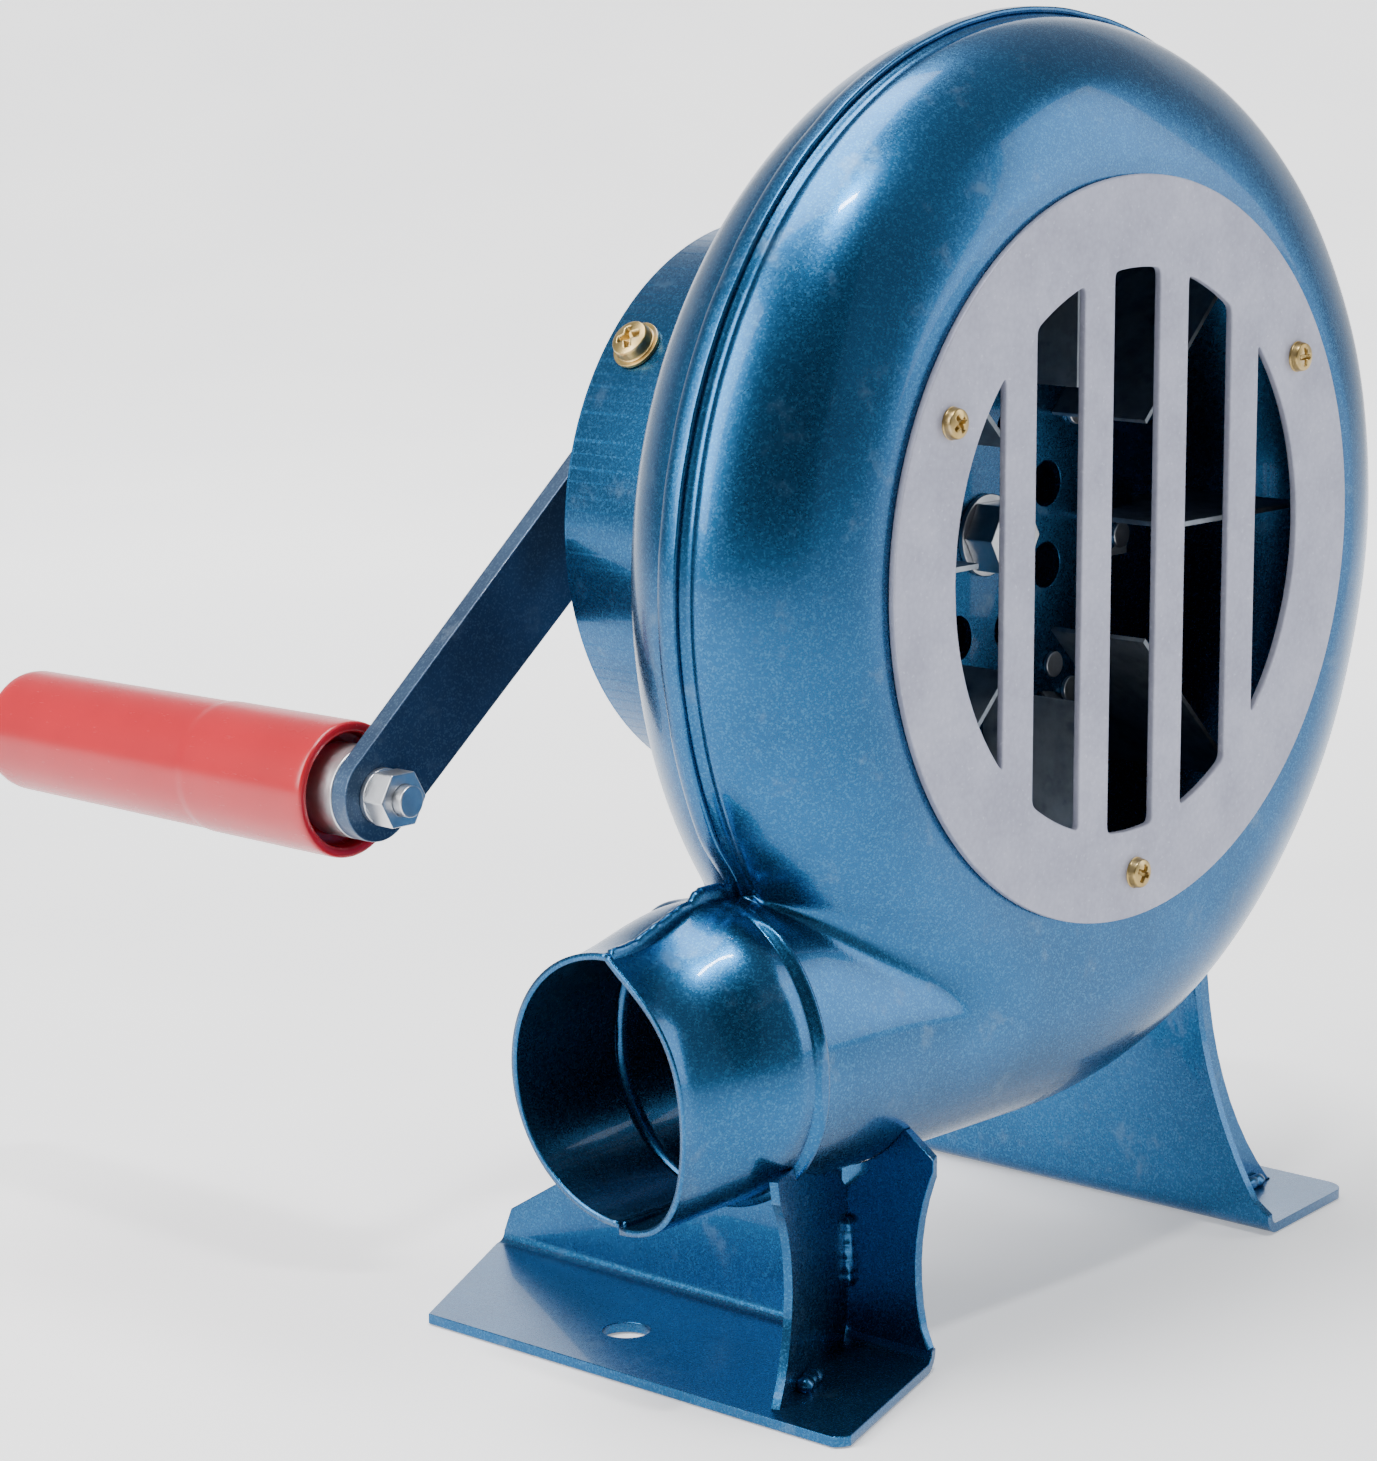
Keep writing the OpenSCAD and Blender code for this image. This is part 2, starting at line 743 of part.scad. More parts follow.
// places its children at every blade rivet, pointing along +Y from just before the plate
module at_rivets() {
  for (i = [0:blade_count - 1], x = [5, 13])
    translate([0, 0, axis_h]) rotate([0, -360 / blade_count * i, 0])
      translate([blade_root_r + x, plate_y - 1, -4.5]) rotate([-90, 0, 0]) children();
}

module impeller_blades() {
  color(steel) in_frame() for (i = [0:blade_count - 1])
    translate([0, 0, axis_h]) rotate([0, -360 / blade_count * i, 0]) {
      difference() {
        translate([blade_root_r, blade_front, 0])
          cube([impeller_r - blade_root_r, blade_w, blade_t]);
        translate([blade_root_r - 1, plate_y - plate_gap, -1])
          cube([20, plate_t + 2 * plate_gap, blade_t + 2]);
      }
      difference() {
        translate([blade_root_r + 1, plate_y + plate_t + plate_gap, -9])
          cube([17, blade_t, 9 + blade_t / 2]);
        for (x = [5, 13]) translate([blade_root_r + x, 0, -4.5]) rotate([-90, 0, 0])
          cylinder(h = 40, r = rivet_r + plate_gap);
      }
    }
}

module impeller_rivets() {
  color(zinc) in_frame() at_rivets() {
    cylinder(h = 1, r = 2.6);
    cylinder(h = 2 + plate_t + blade_t, r = rivet_r);
    translate([0, 0, 1 + plate_t + blade_t + plate_gap]) cylinder(h = 1, r = 2.6);
  }
}

module impeller_hub() {
  color(steel) in_frame() difference() {
    union() {
      rod(fan_c, plate_y + plate_t, 12, hub_r);
      rod(fan_c, plate_y + plate_t, 2, hub_r + 4);
    }
    rod(fan_c, plate_y, 20, fan_shaft_r);
  }
}

module impeller_washer() {
  color(zinc) in_frame() tube(fan_c, plate_y - 1.2, 1.2, 8, fan_shaft_r + plate_gap);
}
module impeller_nut() { color(zinc) in_frame() hex_nut(fan_c, plate_y - 7.7, 6.5, 13, fan_shaft_r); }

// crank
module crank_collar() {
  color(steel) in_frame()
    tube(crank_c, cover_bush_back + end_gap, arm_y - cover_bush_back - end_gap, 8, crank_shaft_r);
}

module crank_arm() {
  across = 0.999 * [-sin(arm_angle), cos(arm_angle)];
  tip_r = arm_tip_w / 2;
  root_r = arm_root_w / 2;
  color(slate) in_frame() difference() {
    union() {
      rod(crank_c, arm_y, arm_t, root_r);
      rod(grip_c, arm_y, arm_t, tip_r);
      translate([0, arm_back, 0]) facing_front() linear_extrude(arm_t) polygon([
        grip_c + tip_r * across, crank_c + root_r * across,
        crank_c - root_r * across, grip_c - tip_r * across
      ]);
    }
    rod(crank_c, arm_y - 1, arm_t + 2, crank_shaft_r);
    rod(grip_c, arm_y - 1, arm_t + 2, grip_bolt_r + plate_gap);
  }
}

module crank_washer() { color(zinc) in_frame() tube(crank_c, arm_back, 1.2, 9, crank_shaft_r + plate_gap); }
module crank_nut() { color(zinc) in_frame() hex_nut(crank_c, arm_back + 1.2, 6, 16, crank_shaft_r); }

// bolt that carries the grip: head in the grip's free end, thread through the arm
module grip_bolt() {
  head_y = grip_back - head_bore_depth + 1.6;
  color(zinc) in_frame() {
    rod(grip_c, arm_y - 8.6, head_y - arm_y + 8.6, grip_bolt_r);
    hex_nut(grip_c, head_y, 4, 10, 0.001);
  }
}

module grip_sleeve() {
  len = 4 + recess_depth - end_gap;
  color(zinc) in_frame() tube(grip_c, arm_back, len, sleeve_r, grip_bolt_r + plate_gap);
}
module grip_washer() {
  color(zinc) in_frame() tube(grip_c, grip_back - head_bore_depth + end_gap, 1.2, 7, grip_bolt_r + plate_gap);
}
module grip_lock_washer() {
  color(zinc) in_frame() tube(grip_c, arm_y - 1.4, 1.4, 5.4, grip_bolt_r + plate_gap);
}
module grip_nut() { color(zinc) in_frame() hex_nut(grip_c, arm_y - 6.4, 5, 10, grip_bolt_r); }

module grip() {
  edge = 1.5;
  color([0.86, 0.27, 0.31]) in_frame() difference() {
    union() {
      taper(grip_c, grip_y, edge, grip_r - edge * 0.5, grip_r);
      taper(grip_c, grip_y + edge, grip_len - 2 * edge, grip_r, grip_end_r);
      taper(grip_c, grip_back - edge, edge, grip_end_r, grip_end_r - edge);
    }
    rod(grip_c, grip_y - 1, recess_depth + 1, recess_r);
    rod(grip_c, grip_y, grip_len, grip_bolt_r + running_gap);
    rod(grip_c, grip_back - head_bore_depth, head_bore_depth + 1, head_bore_r);
  }
}

front_shell();
rear_shell();
seam_flange();
intake_grille();
grille_screws();
left_foot();
left_gusset();
right_foot();
right_gusset();
foot_welds();
gear_case();
case_rivets();
gear_cover();
cover_screws();
cover_washers();
fan_front_bush();
fan_rear_bush();
crank_front_bush();
crank_rear_bush();
idler_shaft();
impeller_plate();
impeller_blades();
impeller_rivets();
impeller_hub();
impeller_nut();
impeller_washer();
fan_shaft();
fan_pinion();
idler_wheel();
idler_pinion();
crank_shaft();
crank_gear();
crank_collar();
crank_arm();
crank_washer();
crank_nut();
grip_bolt();
grip_sleeve();
grip_washer();
grip_nut();
grip_lock_washer();
grip();
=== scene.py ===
import json
import math

import bmesh
import bpy
import numpy as np
from mathutils import Matrix, Vector


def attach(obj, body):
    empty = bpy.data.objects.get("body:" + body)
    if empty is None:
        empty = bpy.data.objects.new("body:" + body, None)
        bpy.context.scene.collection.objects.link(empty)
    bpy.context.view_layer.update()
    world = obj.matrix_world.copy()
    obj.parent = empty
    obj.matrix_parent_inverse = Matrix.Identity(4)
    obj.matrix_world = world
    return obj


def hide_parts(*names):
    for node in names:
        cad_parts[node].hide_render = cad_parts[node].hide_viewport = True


print("stage: frame")
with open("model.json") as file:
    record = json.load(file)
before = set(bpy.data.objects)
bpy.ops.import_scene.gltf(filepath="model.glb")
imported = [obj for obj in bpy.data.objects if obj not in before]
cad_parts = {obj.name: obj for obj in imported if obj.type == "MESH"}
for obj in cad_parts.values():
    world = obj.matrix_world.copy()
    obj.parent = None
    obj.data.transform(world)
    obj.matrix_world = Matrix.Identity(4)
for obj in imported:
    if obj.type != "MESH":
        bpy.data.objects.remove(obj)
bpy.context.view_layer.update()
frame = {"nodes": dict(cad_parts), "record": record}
frameSize = (1377, 1461)

# Sizes below are in millimetres from the foot of the fan axis on the seam plane; this is
# where that point lies in the frame.
seamFoot = np.array([7.08, -27.0, 0.0])
rng = np.random.default_rng(7)


def toFrame(points):
    return (np.asarray(points, float) + seamFoot) / 1000.0


def smoothStep(low, high, value):
    t = np.clip((value - low) / (high - low), 0.0, 1.0)
    return t * t * (3.0 - 2.0 * t)


# Quads of a grid of points with rows along its first index. A closed direction joins back on
# itself, and flip turns the faces over.
def gridFaces(rows, columns, closeRows=False, closeColumns=False, flip=False):
    r = np.arange(rows if closeRows else rows - 1)
    c = np.arange(columns if closeColumns else columns - 1)
    r, c = [a.ravel() for a in np.meshgrid(r, c, indexing="ij")]
    r1, c1 = (r + 1) % rows, (c + 1) % columns
    quads = np.stack([r * columns + c, r * columns + c1, r1 * columns + c1, r1 * columns + c], 1)
    return quads[:, ::-1] if flip else quads


# Joins several (points, faces) pairs into one.
def joined(parts):
    points, faces, start = [], [], 0
    for p, f in parts:
        p = np.asarray(p, float).reshape(-1, 3)
        points.append(p)
        faces.append(np.asarray(f) + start)
        start += len(p)
    return np.concatenate(points), np.concatenate(faces)


# Makes an object from points in millimetres and faces; doubles are merged and normals face out.
def meshObject(name, points, faces, smooth=True, recalc=True):
    mesh = bpy.data.meshes.new(name)
    faces = np.asarray(faces, np.int32)
    co = toFrame(points).reshape(-1, 3)
    mesh.vertices.add(len(co))
    mesh.vertices.foreach_set("co", co.astype(np.float32).ravel())
    sides = faces.shape[1]
    mesh.loops.add(faces.size)
    mesh.loops.foreach_set("vertex_index", faces.ravel())
    mesh.polygons.add(len(faces))
    mesh.polygons.foreach_set("loop_start", np.arange(0, faces.size, sides, dtype=np.int32))
    mesh.update(calc_edges=True)
    work = bmesh.new()
    work.from_mesh(mesh)
    bmesh.ops.remove_doubles(work, verts=work.verts, dist=2e-6)
    bmesh.ops.dissolve_degenerate(work, edges=work.edges, dist=1e-7)
    if recalc:
        bmesh.ops.recalc_face_normals(work, faces=work.faces)
    work.to_mesh(mesh)
    work.free()
    mesh.polygons.foreach_set("use_smooth", np.full(len(mesh.polygons), smooth))
    obj = bpy.data.objects.new(name, mesh)
    bpy.context.scene.collection.objects.link(obj)
    return obj


def setUp(obj, material, body, slot, *nodes):
    obj.data.materials.clear()
    obj.data.materials.append(material)
    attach(obj, body)
    if nodes:
        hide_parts(*nodes)
    return obj


def addModifier(obj, kind, **settings):
    modifier = obj.modifiers.new(kind.title(), kind)
    for key, value in settings.items():
        setattr(modifier, key, value)
    return modifier


def addSolid(obj, thickness):
    addModifier(obj, "SOLIDIFY", thickness=thickness / 1000, offset=-1.0, use_even_offset=False)


# A copy of a CAD node with its coplanar triangles joined and its sharp edges broken.
def softened(name, node, edge, segments=2, angle=35.0):
    mesh = frame["nodes"][node].data.copy()
    mesh.name = name
    work = bmesh.new()
    work.from_mesh(mesh)
    bmesh.ops.remove_doubles(work, verts=work.verts, dist=5e-6)
    bmesh.ops.dissolve_limit(
        work, angle_limit=math.radians(0.6), verts=work.verts, edges=work.edges
    )
    bmesh.ops.recalc_face_normals(work, faces=work.faces)
    work.to_mesh(mesh)
    work.free()
    mesh.polygons.foreach_set("use_smooth", np.full(len(mesh.polygons), True))
    obj = bpy.data.objects.new(name, mesh)
    bpy.context.scene.collection.objects.link(obj)
    if hasattr(mesh, "set_sharp_from_angle"):
        mesh.set_sharp_from_angle(angle=math.radians(angle))
    addModifier(
        obj,
        "BEVEL",
        width=edge / 1000,
        segments=segments,
        limit_method="ANGLE",
        angle_limit=math.radians(angle),
        harden_normals=True,
        use_clamp_overlap=True,
    )
    return obj


# Points of a profile turned about an axis along Y through centre = (x, z). The profile holds
# (radius, y) pairs.
def turned(profile, centre, steps=96, start=0.0, sweep=360.0):
    closed = abs(sweep) >= 360.0
    a = np.radians(start + np.linspace(0, sweep, steps, endpoint=not closed))
    radius, along = np.asarray(profile, float).T
    x = centre[0] + radius[:, None] * np.cos(a)
    z = centre[1] + radius[:, None] * np.sin(a)
    y = np.repeat(along[:, None], len(a), 1)
    return np.stack([x, y, z], 2), gridFaces(len(radius), len(a), closeColumns=closed)


# Rounds the corners of a polyline of (radius, y) pairs with arcs of about the given size.
def rounded(profile, size, steps=5):
    p = np.asarray(profile, float)
    out = [p[:1]]
    for before, corner, after in zip(p[:-2], p[1:-1], p[2:]):
        u, v = before - corner, after - corner
        cut = min(size, np.linalg.norm(u) * 0.48, np.linalg.norm(v) * 0.48)
        a = corner + u / np.linalg.norm(u) * cut
        b = corner + v / np.linalg.norm(v) * cut
        t = np.linspace(0, 1, steps)[:, None]
        out.append((1 - t) ** 2 * a + 2 * t * (1 - t) * corner + t * t * b)
    out.append(p[-1:])
    return np.concatenate(out)


# Smooth noise over whole arrays: a few sine waves with seeded directions and phases.
def ripple(points, wavelength, waves=10):
    p = np.asarray(points, float)
    total = np.zeros(p.shape[:-1])
    for _ in range(waves):
        direction = rng.normal(size=3)
        direction *= rng.uniform(0.6, 1.6) * 2 * np.pi / wavelength / np.linalg.norm(direction)
        total += np.sin(p @ direction + rng.uniform(0, 2 * np.pi))
    return total / math.sqrt(waves)


# Wraps a node socket so that shader formulas read as plain expressions.
class Value:
    def __init__(self, graph, socket):
        self.graph, self.socket = graph, socket

    def maths(self, operation, *others, clamp=False):
        node = self.graph.tree.nodes.new("ShaderNodeMath")
        node.operation, node.use_clamp = operation, clamp
        for place, item in zip(node.inputs, (self, *others)):
            self.graph.connect(place, item)
        return Value(self.graph, node.outputs[0])

    def __add__(self, other):
        return self.maths("ADD", other)

    def __sub__(self, other):
        return self.maths("SUBTRACT", other)

    def __rsub__(self, other):
        return (self * -1.0) + other

    def __mul__(self, other):
        return self.maths("MULTIPLY", other)

    def __truediv__(self, other):
        return self.maths("DIVIDE", other)

    def __pow__(self, other):
        return self.maths("POWER", other)

    __radd__, __rmul__ = __add__, __mul__

    def clamped(self):
        return self.maths("ADD", 0.0, clamp=True)

    # Rises smoothly from 0 at low to 1 at high.
    def rise(self, low, high):
        settings = {"interpolation_type": "SMOOTHSTEP"}
        values = {"Value": self, "From Min": low, "From Max": high}
        return self.graph.add("ShaderNodeMapRange", settings, values)


class Graph:
    def __init__(self, name):
        self.material = bpy.data.materials.new(name)
        self.material.use_nodes = True
        self.tree = self.material.node_tree
        self.tree.nodes.clear()
        coordinates = self.tree.nodes.new("ShaderNodeTexCoord")
        self.place = Value(self, coordinates.outputs["Object"])

    def connect(self, socket, item):
        if isinstance(item, Value):
            self.tree.links.new(item.socket, socket)
        elif item is not None:
            socket.default_value = item

    def add(self, kind, settings, values, output=0):
        node = self.tree.nodes.new(kind)
        for key, value in settings.items():
            setattr(node, key, value)
        for key, value in values.items():
            self.connect(node.inputs[key], value)
        return Value(self, node.outputs[output])

    # Noise with features of the given size in millimetres.
    def noise(self, size, detail=2.0, roughness=0.5, stretch=None, distortion=0.0):
        place = self.place
        if stretch:
            place = self.add("ShaderNodeVectorMath", {"operation": "MULTIPLY"}, {0: place, 1: stretch})
        values = {
            "Vector": place,
            "Scale": 1000.0 / size,
            "Detail": detail,
            "Roughness": roughness,
            "Distortion": distortion,
        }
        return self.add("ShaderNodeTexNoise", {}, values)

    def cells(self, size, output="Distance", feature="F1", randomness=1.0):
        values = {"Vector": self.place, "Scale": 1000.0 / size, "Randomness": randomness}
        return self.add("ShaderNodeTexVoronoi", {"feature": feature}, values, output)

    def axis(self, letter):
        return self.add("ShaderNodeSeparateXYZ", {}, {0: self.place}, letter)

    def mix(self, factor, a, b):
        settings = {"data_type": "RGBA"}
        values = {0: factor, 6: a, 7: b}
        return self.add("ShaderNodeMix", settings, values, 2)

    def bump(self, height, depth, strength=1.0, under=None):
        values = {"Height": height, "Distance": depth / 1000.0, "Strength": strength, "Normal": under}
        return self.add("ShaderNodeBump", {}, values)

    def finish(self, **inputs):
        names = {key.replace("_", " "): value for key, value in inputs.items()}
        shader = self.add("ShaderNodeBsdfPrincipled", {}, names)
        out = self.tree.nodes.new("ShaderNodeOutputMaterial")
        self.tree.links.new(shader.socket, out.inputs["Surface"])
        return self.material


def rgb(red, green, blue):
    return (red, green, blue, 1.0)


# Gloss paint with fine metal flake and a slight orange peel; peel scales the orange peel and dust sets
# how much pale dust is mixed in at random.
paint = {
    "deep": rgb(0.008, 0.066, 0.165),
    "body": rgb(0.013, 0.098, 0.240),
    "flake": rgb(0.06, 0.24, 0.44),
    "metallic": 0.92,
    "roughness": 0.23,
    "peelDepth": 0.012,
    "dustColour": rgb(0.16, 0.26, 0.36),
}


def flakePaint(name, look, peel=1.0, dust=0.35):
    g = Graph(name)
    flakes = g.cells(0.30, "Color")
    spark = g.add("ShaderNodeSeparateColor", {}, {0: flakes}, "Red")
    tone = g.noise(26.0, 3.0)
    colour = g.mix((tone.rise(0.3, 0.72) * 0.55 + 0.35).clamped(), look["deep"], look["body"])
    colour = g.mix(spark.rise(0.6, 1.0) * 0.35, colour, look["flake"])
    grime = (g.noise(9.0, 6.0, 0.65).rise(0.56, 0.78) * dust).clamped()
    colour = g.mix(grime, colour, look["dustColour"])
    rough = spark * 0.06 + look["roughness"] + grime * 0.16 + g.noise(60.0).rise(0.35, 0.7) * 0.04
    height = g.noise(2.4, 2.0) * 0.7 + g.noise(0.5, 1.0) * 0.3 * 0.5
    normal = g.bump(height, look["peelDepth"] * 4 * peel, 0.55)
    return g.finish(
        Base_Color=colour,
        Metallic=look["metallic"],
        Roughness=rough,
        Normal=normal,
        Coat_Weight=0.22,
        Coat_Roughness=0.05,
    )


silver = {
    "light": rgb(0.43, 0.44, 0.54),
    "dark": rgb(0.31, 0.32, 0.41),
    "roughness": 0.42,
}


def silverPaint(name, look):
    g = Graph(name)
    mottle = g.cells(1.1, "Distance")
    cloud = g.noise(14.0, 5.0, 0.6)
    factor = (mottle * 0.45 + cloud.rise(0.3, 0.7) * 0.6).clamped()
    colour = g.mix(factor, look["light"], look["dark"])
    fleck = g.noise(0.9, 2.0).rise(0.62, 0.75)
    colour = g.mix(fleck * 0.35, colour, rgb(0.62, 0.64, 0.72))
    rough = cloud * 0.18 + look["roughness"] + fleck * -0.08
    normal = g.bump(mottle + g.noise(3.0) * 0.5, 0.03, 0.45)
    return g.finish(Base_Color=colour, Metallic=0.35, Roughness=rough, Normal=normal)


# Bare or plated metal with brushed or turned marks: stretch sets which way they run.
def metal(name, light, dark, roughness, marks=0.35, size=3.0, stretch=(1.0, 1.0, 1.0), tint=None):
    g = Graph(name)
    lines = g.noise(size, 4.0, 0.7, stretch)
    cloud = g.noise(7.0, 4.0, 0.6)
    colour = g.mix((cloud.rise(0.25, 0.75) * 0.8 + lines * 0.25).clamped(), light, dark)
    if tint:
        colour = g.mix(g.noise(4.0, 3.0).rise(0.55, 0.75) * 0.6, colour, tint)
    rough = lines * 0.22 + roughness + cloud.rise(0.5, 0.8) * 0.12
    normal = g.bump(lines * marks + g.noise(0.6, 2.0) * 0.2, 0.03, 0.4)
    return g.finish(Base_Color=colour, Metallic=1.0, Roughness=rough, Normal=normal)


plastic = {
    "body": rgb(0.42, 0.008, 0.018),
    "deep": rgb(0.30, 0.005, 0.012),
    "scuff": rgb(0.58, 0.09, 0.10),
    "roughness": 0.24,
}


def redPlastic(name, look):
    g = Graph(name)
    cloud = g.noise(22.0, 3.0)
    colour = g.mix(cloud.rise(0.2, 0.8) * 0.5, look["body"], look["deep"])
    flow = g.noise(4.0, 5.0, 0.6, (1.0, 0.15, 1.0))
    colour = g.mix(flow.rise(0.6, 0.9) * 0.12, colour, look["scuff"])
    scuffs = g.noise(1.2, 6.0, 0.75, (1.0, 0.25, 1.0)).rise(0.62, 0.75)
    rough = scuffs * 0.14 + look["roughness"] + cloud * 0.05
    normal = g.bump(g.noise(9.0, 2.0) * 0.5 + scuffs * 0.06 + flow * 0.12, 0.03, 0.3)
    return g.finish(
        Base_Color=colour,
        Roughness=rough,
        Normal=normal,
        Specular_IOR_Level=0.55,
        Subsurface_Weight=0.06,
        Subsurface_Scale=0.004,
    )


slate = {
    "deep": rgb(0.018, 0.035, 0.075),
    "body": rgb(0.035, 0.075, 0.145),
    "flake": rgb(0.12, 0.2, 0.3),
    "metallic": 0.6,
    "roughness": 0.36,
    "peelDepth": 0.010,
    "dustColour": rgb(0.12, 0.16, 0.22),
}

print("stage: materials")
bluePaint = flakePaint("bluePaint", paint)
wheelPaint = flakePaint("wheelPaint", paint, 1.3, 0.6)
slatePaint = flakePaint("slatePaint", slate, 1.2, 0.5)
grillePaint = silverPaint("grilleSilver", silver)
redGrip = redPlastic("redPlastic", plastic)
brightZinc = metal("brightZinc", rgb(0.74, 0.75, 0.77), rgb(0.45, 0.47, 0.50), 0.22)
yellowZinc = metal(
    "yellowZinc", rgb(0.62, 0.46, 0.19), rgb(0.30, 0.20, 0.07), 0.2, tint=rgb(0.46, 0.40, 0.30)
)
bronze = metal("bushBronze", rgb(0.62, 0.44, 0.22), rgb(0.38, 0.24, 0.11), 0.3)
turnedSteel = metal(
    "turnedSteel", rgb(0.52, 0.53, 0.55), rgb(0.30, 0.31, 0.33), 0.26, 0.6, 1.6, (1.0, 6.0, 1.0)
)
galvanised = metal(
    "galvanised", rgb(0.46, 0.51, 0.56), rgb(0.26, 0.30, 0.35), 0.4, 0.5, 5.0, tint=rgb(0.16, 0.2, 0.26)
)

print("stage: casing")
casing = {
    "axisHeight": 145.0,
    "rim": 99.0,
    "scrollRim": 110.5,
    "shift": 11.5,
    "pipe": 25.0,
    "pipeDrop": 85.5,
    "mouth": -112.5,
    "mouthLean": 2.4,
    "crownRise": 5.0,
    "bead": -86.5,
    "beadHeight": 1.6,
    "beadHalfWidth": 1.7,
    "beadFade": 0.85,
    "beadFadeAngles": (0.95, 1.35),
    "sheet": 1.2,
    "creaseBlend": 7.0,
}
fanCentre = (0.0, casing["axisHeight"])
tongueDrop = casing["pipeDrop"] - casing["pipe"] - casing["crownRise"]
sliceX = -math.sqrt(casing["rim"] ** 2 - tongueDrop**2)


# How far the pipe's crown stands above a round pipe: it rises towards the tongue of the casing.
def crownRise(x):
    return casing["crownRise"] * smoothStep(-113, -90, x) * (1 - smoothStep(-78, -35, x))


# Half height of the pipe's section, which is taller above its middle than below.
def pipeHalf(x, upper):
    return casing["pipe"] + np.where(upper, crownRise(x), 0.0)


# The casing's outline on the seam plane, as (x, z) from the fan axis, with the pipe cut at sliceX.
def outline(arcSteps, sliceSteps, lineSteps, scrollSteps):
    c = casing
    tongue = math.pi + math.asin(tongueDrop / c["rim"])
    a = np.linspace(0, tongue, arcSteps, endpoint=False)
    arc = c["rim"] * np.stack([np.cos(a), np.sin(a)], 1)
    b = np.linspace(math.pi / 2, -math.pi / 2, sliceSteps)
    half = pipeHalf(np.full(sliceSteps, sliceX), b > 0)
    cut = np.stack([np.full(sliceSteps, sliceX), -c["pipeDrop"] + half * np.sin(b)], 1)
    x = np.linspace(sliceX, -c["shift"], lineSteps)[1:-1]
    line = np.stack([x, np.full(len(x), -c["scrollRim"])], 1)
    s = np.linspace(1.5 * math.pi, 2 * math.pi, scrollSteps, endpoint=False)
    scroll = np.stack([c["scrollRim"] * np.cos(s) - c["shift"], c["scrollRim"] * np.sin(s)], 1)
    return np.concatenate([arc, cut, line, scroll]), b


# Depth of a pressed bowl at a distance from its centre: flat in the middle, elliptic to the rim.
def bowlDepth(distance, flat, rim, depth):
    u = np.clip((distance - flat) / (rim - flat), 0.0, 1.0)
    return depth * np.sqrt(1.0 - u * u)


# Depth of one side of the casing over the seam plane: the bowl, its scroll and the pipe run
# into each other over a soft crease.
def casingDepth(x, z, flat, depth):
    c = casing
    margin = c["rim"] - flat
    scrolled = (x > -c["shift"]) & (z < 0)
    main = bowlDepth(np.hypot(x, z), flat, c["rim"], depth)
    wide = bowlDepth(np.hypot(x + c["shift"], z), c["scrollRim"] - margin, c["scrollRim"], depth)
    bowl = np.where(scrolled, wide, main)
    dz = z + c["pipeDrop"]
    pipe = c["pipe"] * np.sqrt(np.clip(1 - (dz / pipeHalf(x, dz > 0)) ** 2, 0.0, None))
    pipe = np.where(scrolled, 0.0, pipe)
    channel = bowlDepth(np.abs(z), c["scrollRim"] - margin, c["scrollRim"], depth)
    fade = smoothStep(-52.0, -c["shift"], x) * (z < 0) * (x <= -c["shift"])
    blend = np.minimum(c["creaseBlend"], 1.1 * np.minimum(bowl, pipe)) + 1e-6
    lift = np.clip(blend - np.abs(bowl - pipe), 0.0, None) / blend
    both = np.maximum(bowl, pipe) + lift * lift * blend / 4
    both = both + fade * np.clip(channel - both, 0.0, None)
    return np.minimum(both, depth)


# The dented intake side of the pipe's mouth: (angle up from the middle, y, height from the middle).
dent = np.array(
    [
        (-90, -0.4, -26.2),
        (-74, -7.5, -24.4),
        (-58, -12.8, -21.0),
        (-40, -16.4, -14.0),
        (-18, -16.2, -6.0),
        (4, -15.6, 2.0),
        (24, -15.2, 9.5),
        (44, -11.6, 14.8),
        (66, -5.4, 20.0),
        (90, 0.0, 25.0),
    ]
)


# Points of the pipe from the mouth to sliceX on one side (-1 intake, +1 crank).
def pipeGrid(b, side, steps=120):
    c = casing
    t = np.linspace(0, 1, steps)[:, None]
    lean = c["mouthLean"] * (0.5 + 0.5 * np.sin(b))[None, :]
    x = sliceX + (c["mouth"] - lean - sliceX) * t
    bump = np.clip(1 - ((x - c["bead"]) / c["beadHalfWidth"]) ** 2, 0.0, None) ** 1.2
    bump = bump * (1 - c["beadFade"] * smoothStep(*c["beadFadeAngles"], b))[None, :]
    radius = c["beadHeight"] * bump + c["pipe"]
    upright = c["beadHeight"] * bump + pipeHalf(x, (b > 0)[None, :])
    y = side * radius * np.cos(b)
    z = upright * np.sin(b)
    if side < 0:
        angle = np.degrees(b)
        share = smoothStep(c["bead"] - 4.0, c["mouth"], x)
        dentY = np.polyval(np.polyfit(dent[:, 0] / 90, dent[:, 1], 5), angle / 90)
        dentZ = np.polyval(np.polyfit(dent[:, 0] / 90, dent[:, 2], 5), angle / 90)
        y = y + share * (dentY - y)
        z = z + share * (dentZ - z)
    return np.stack([x, y, z - c["pipeDrop"] + c["axisHeight"]], 2)


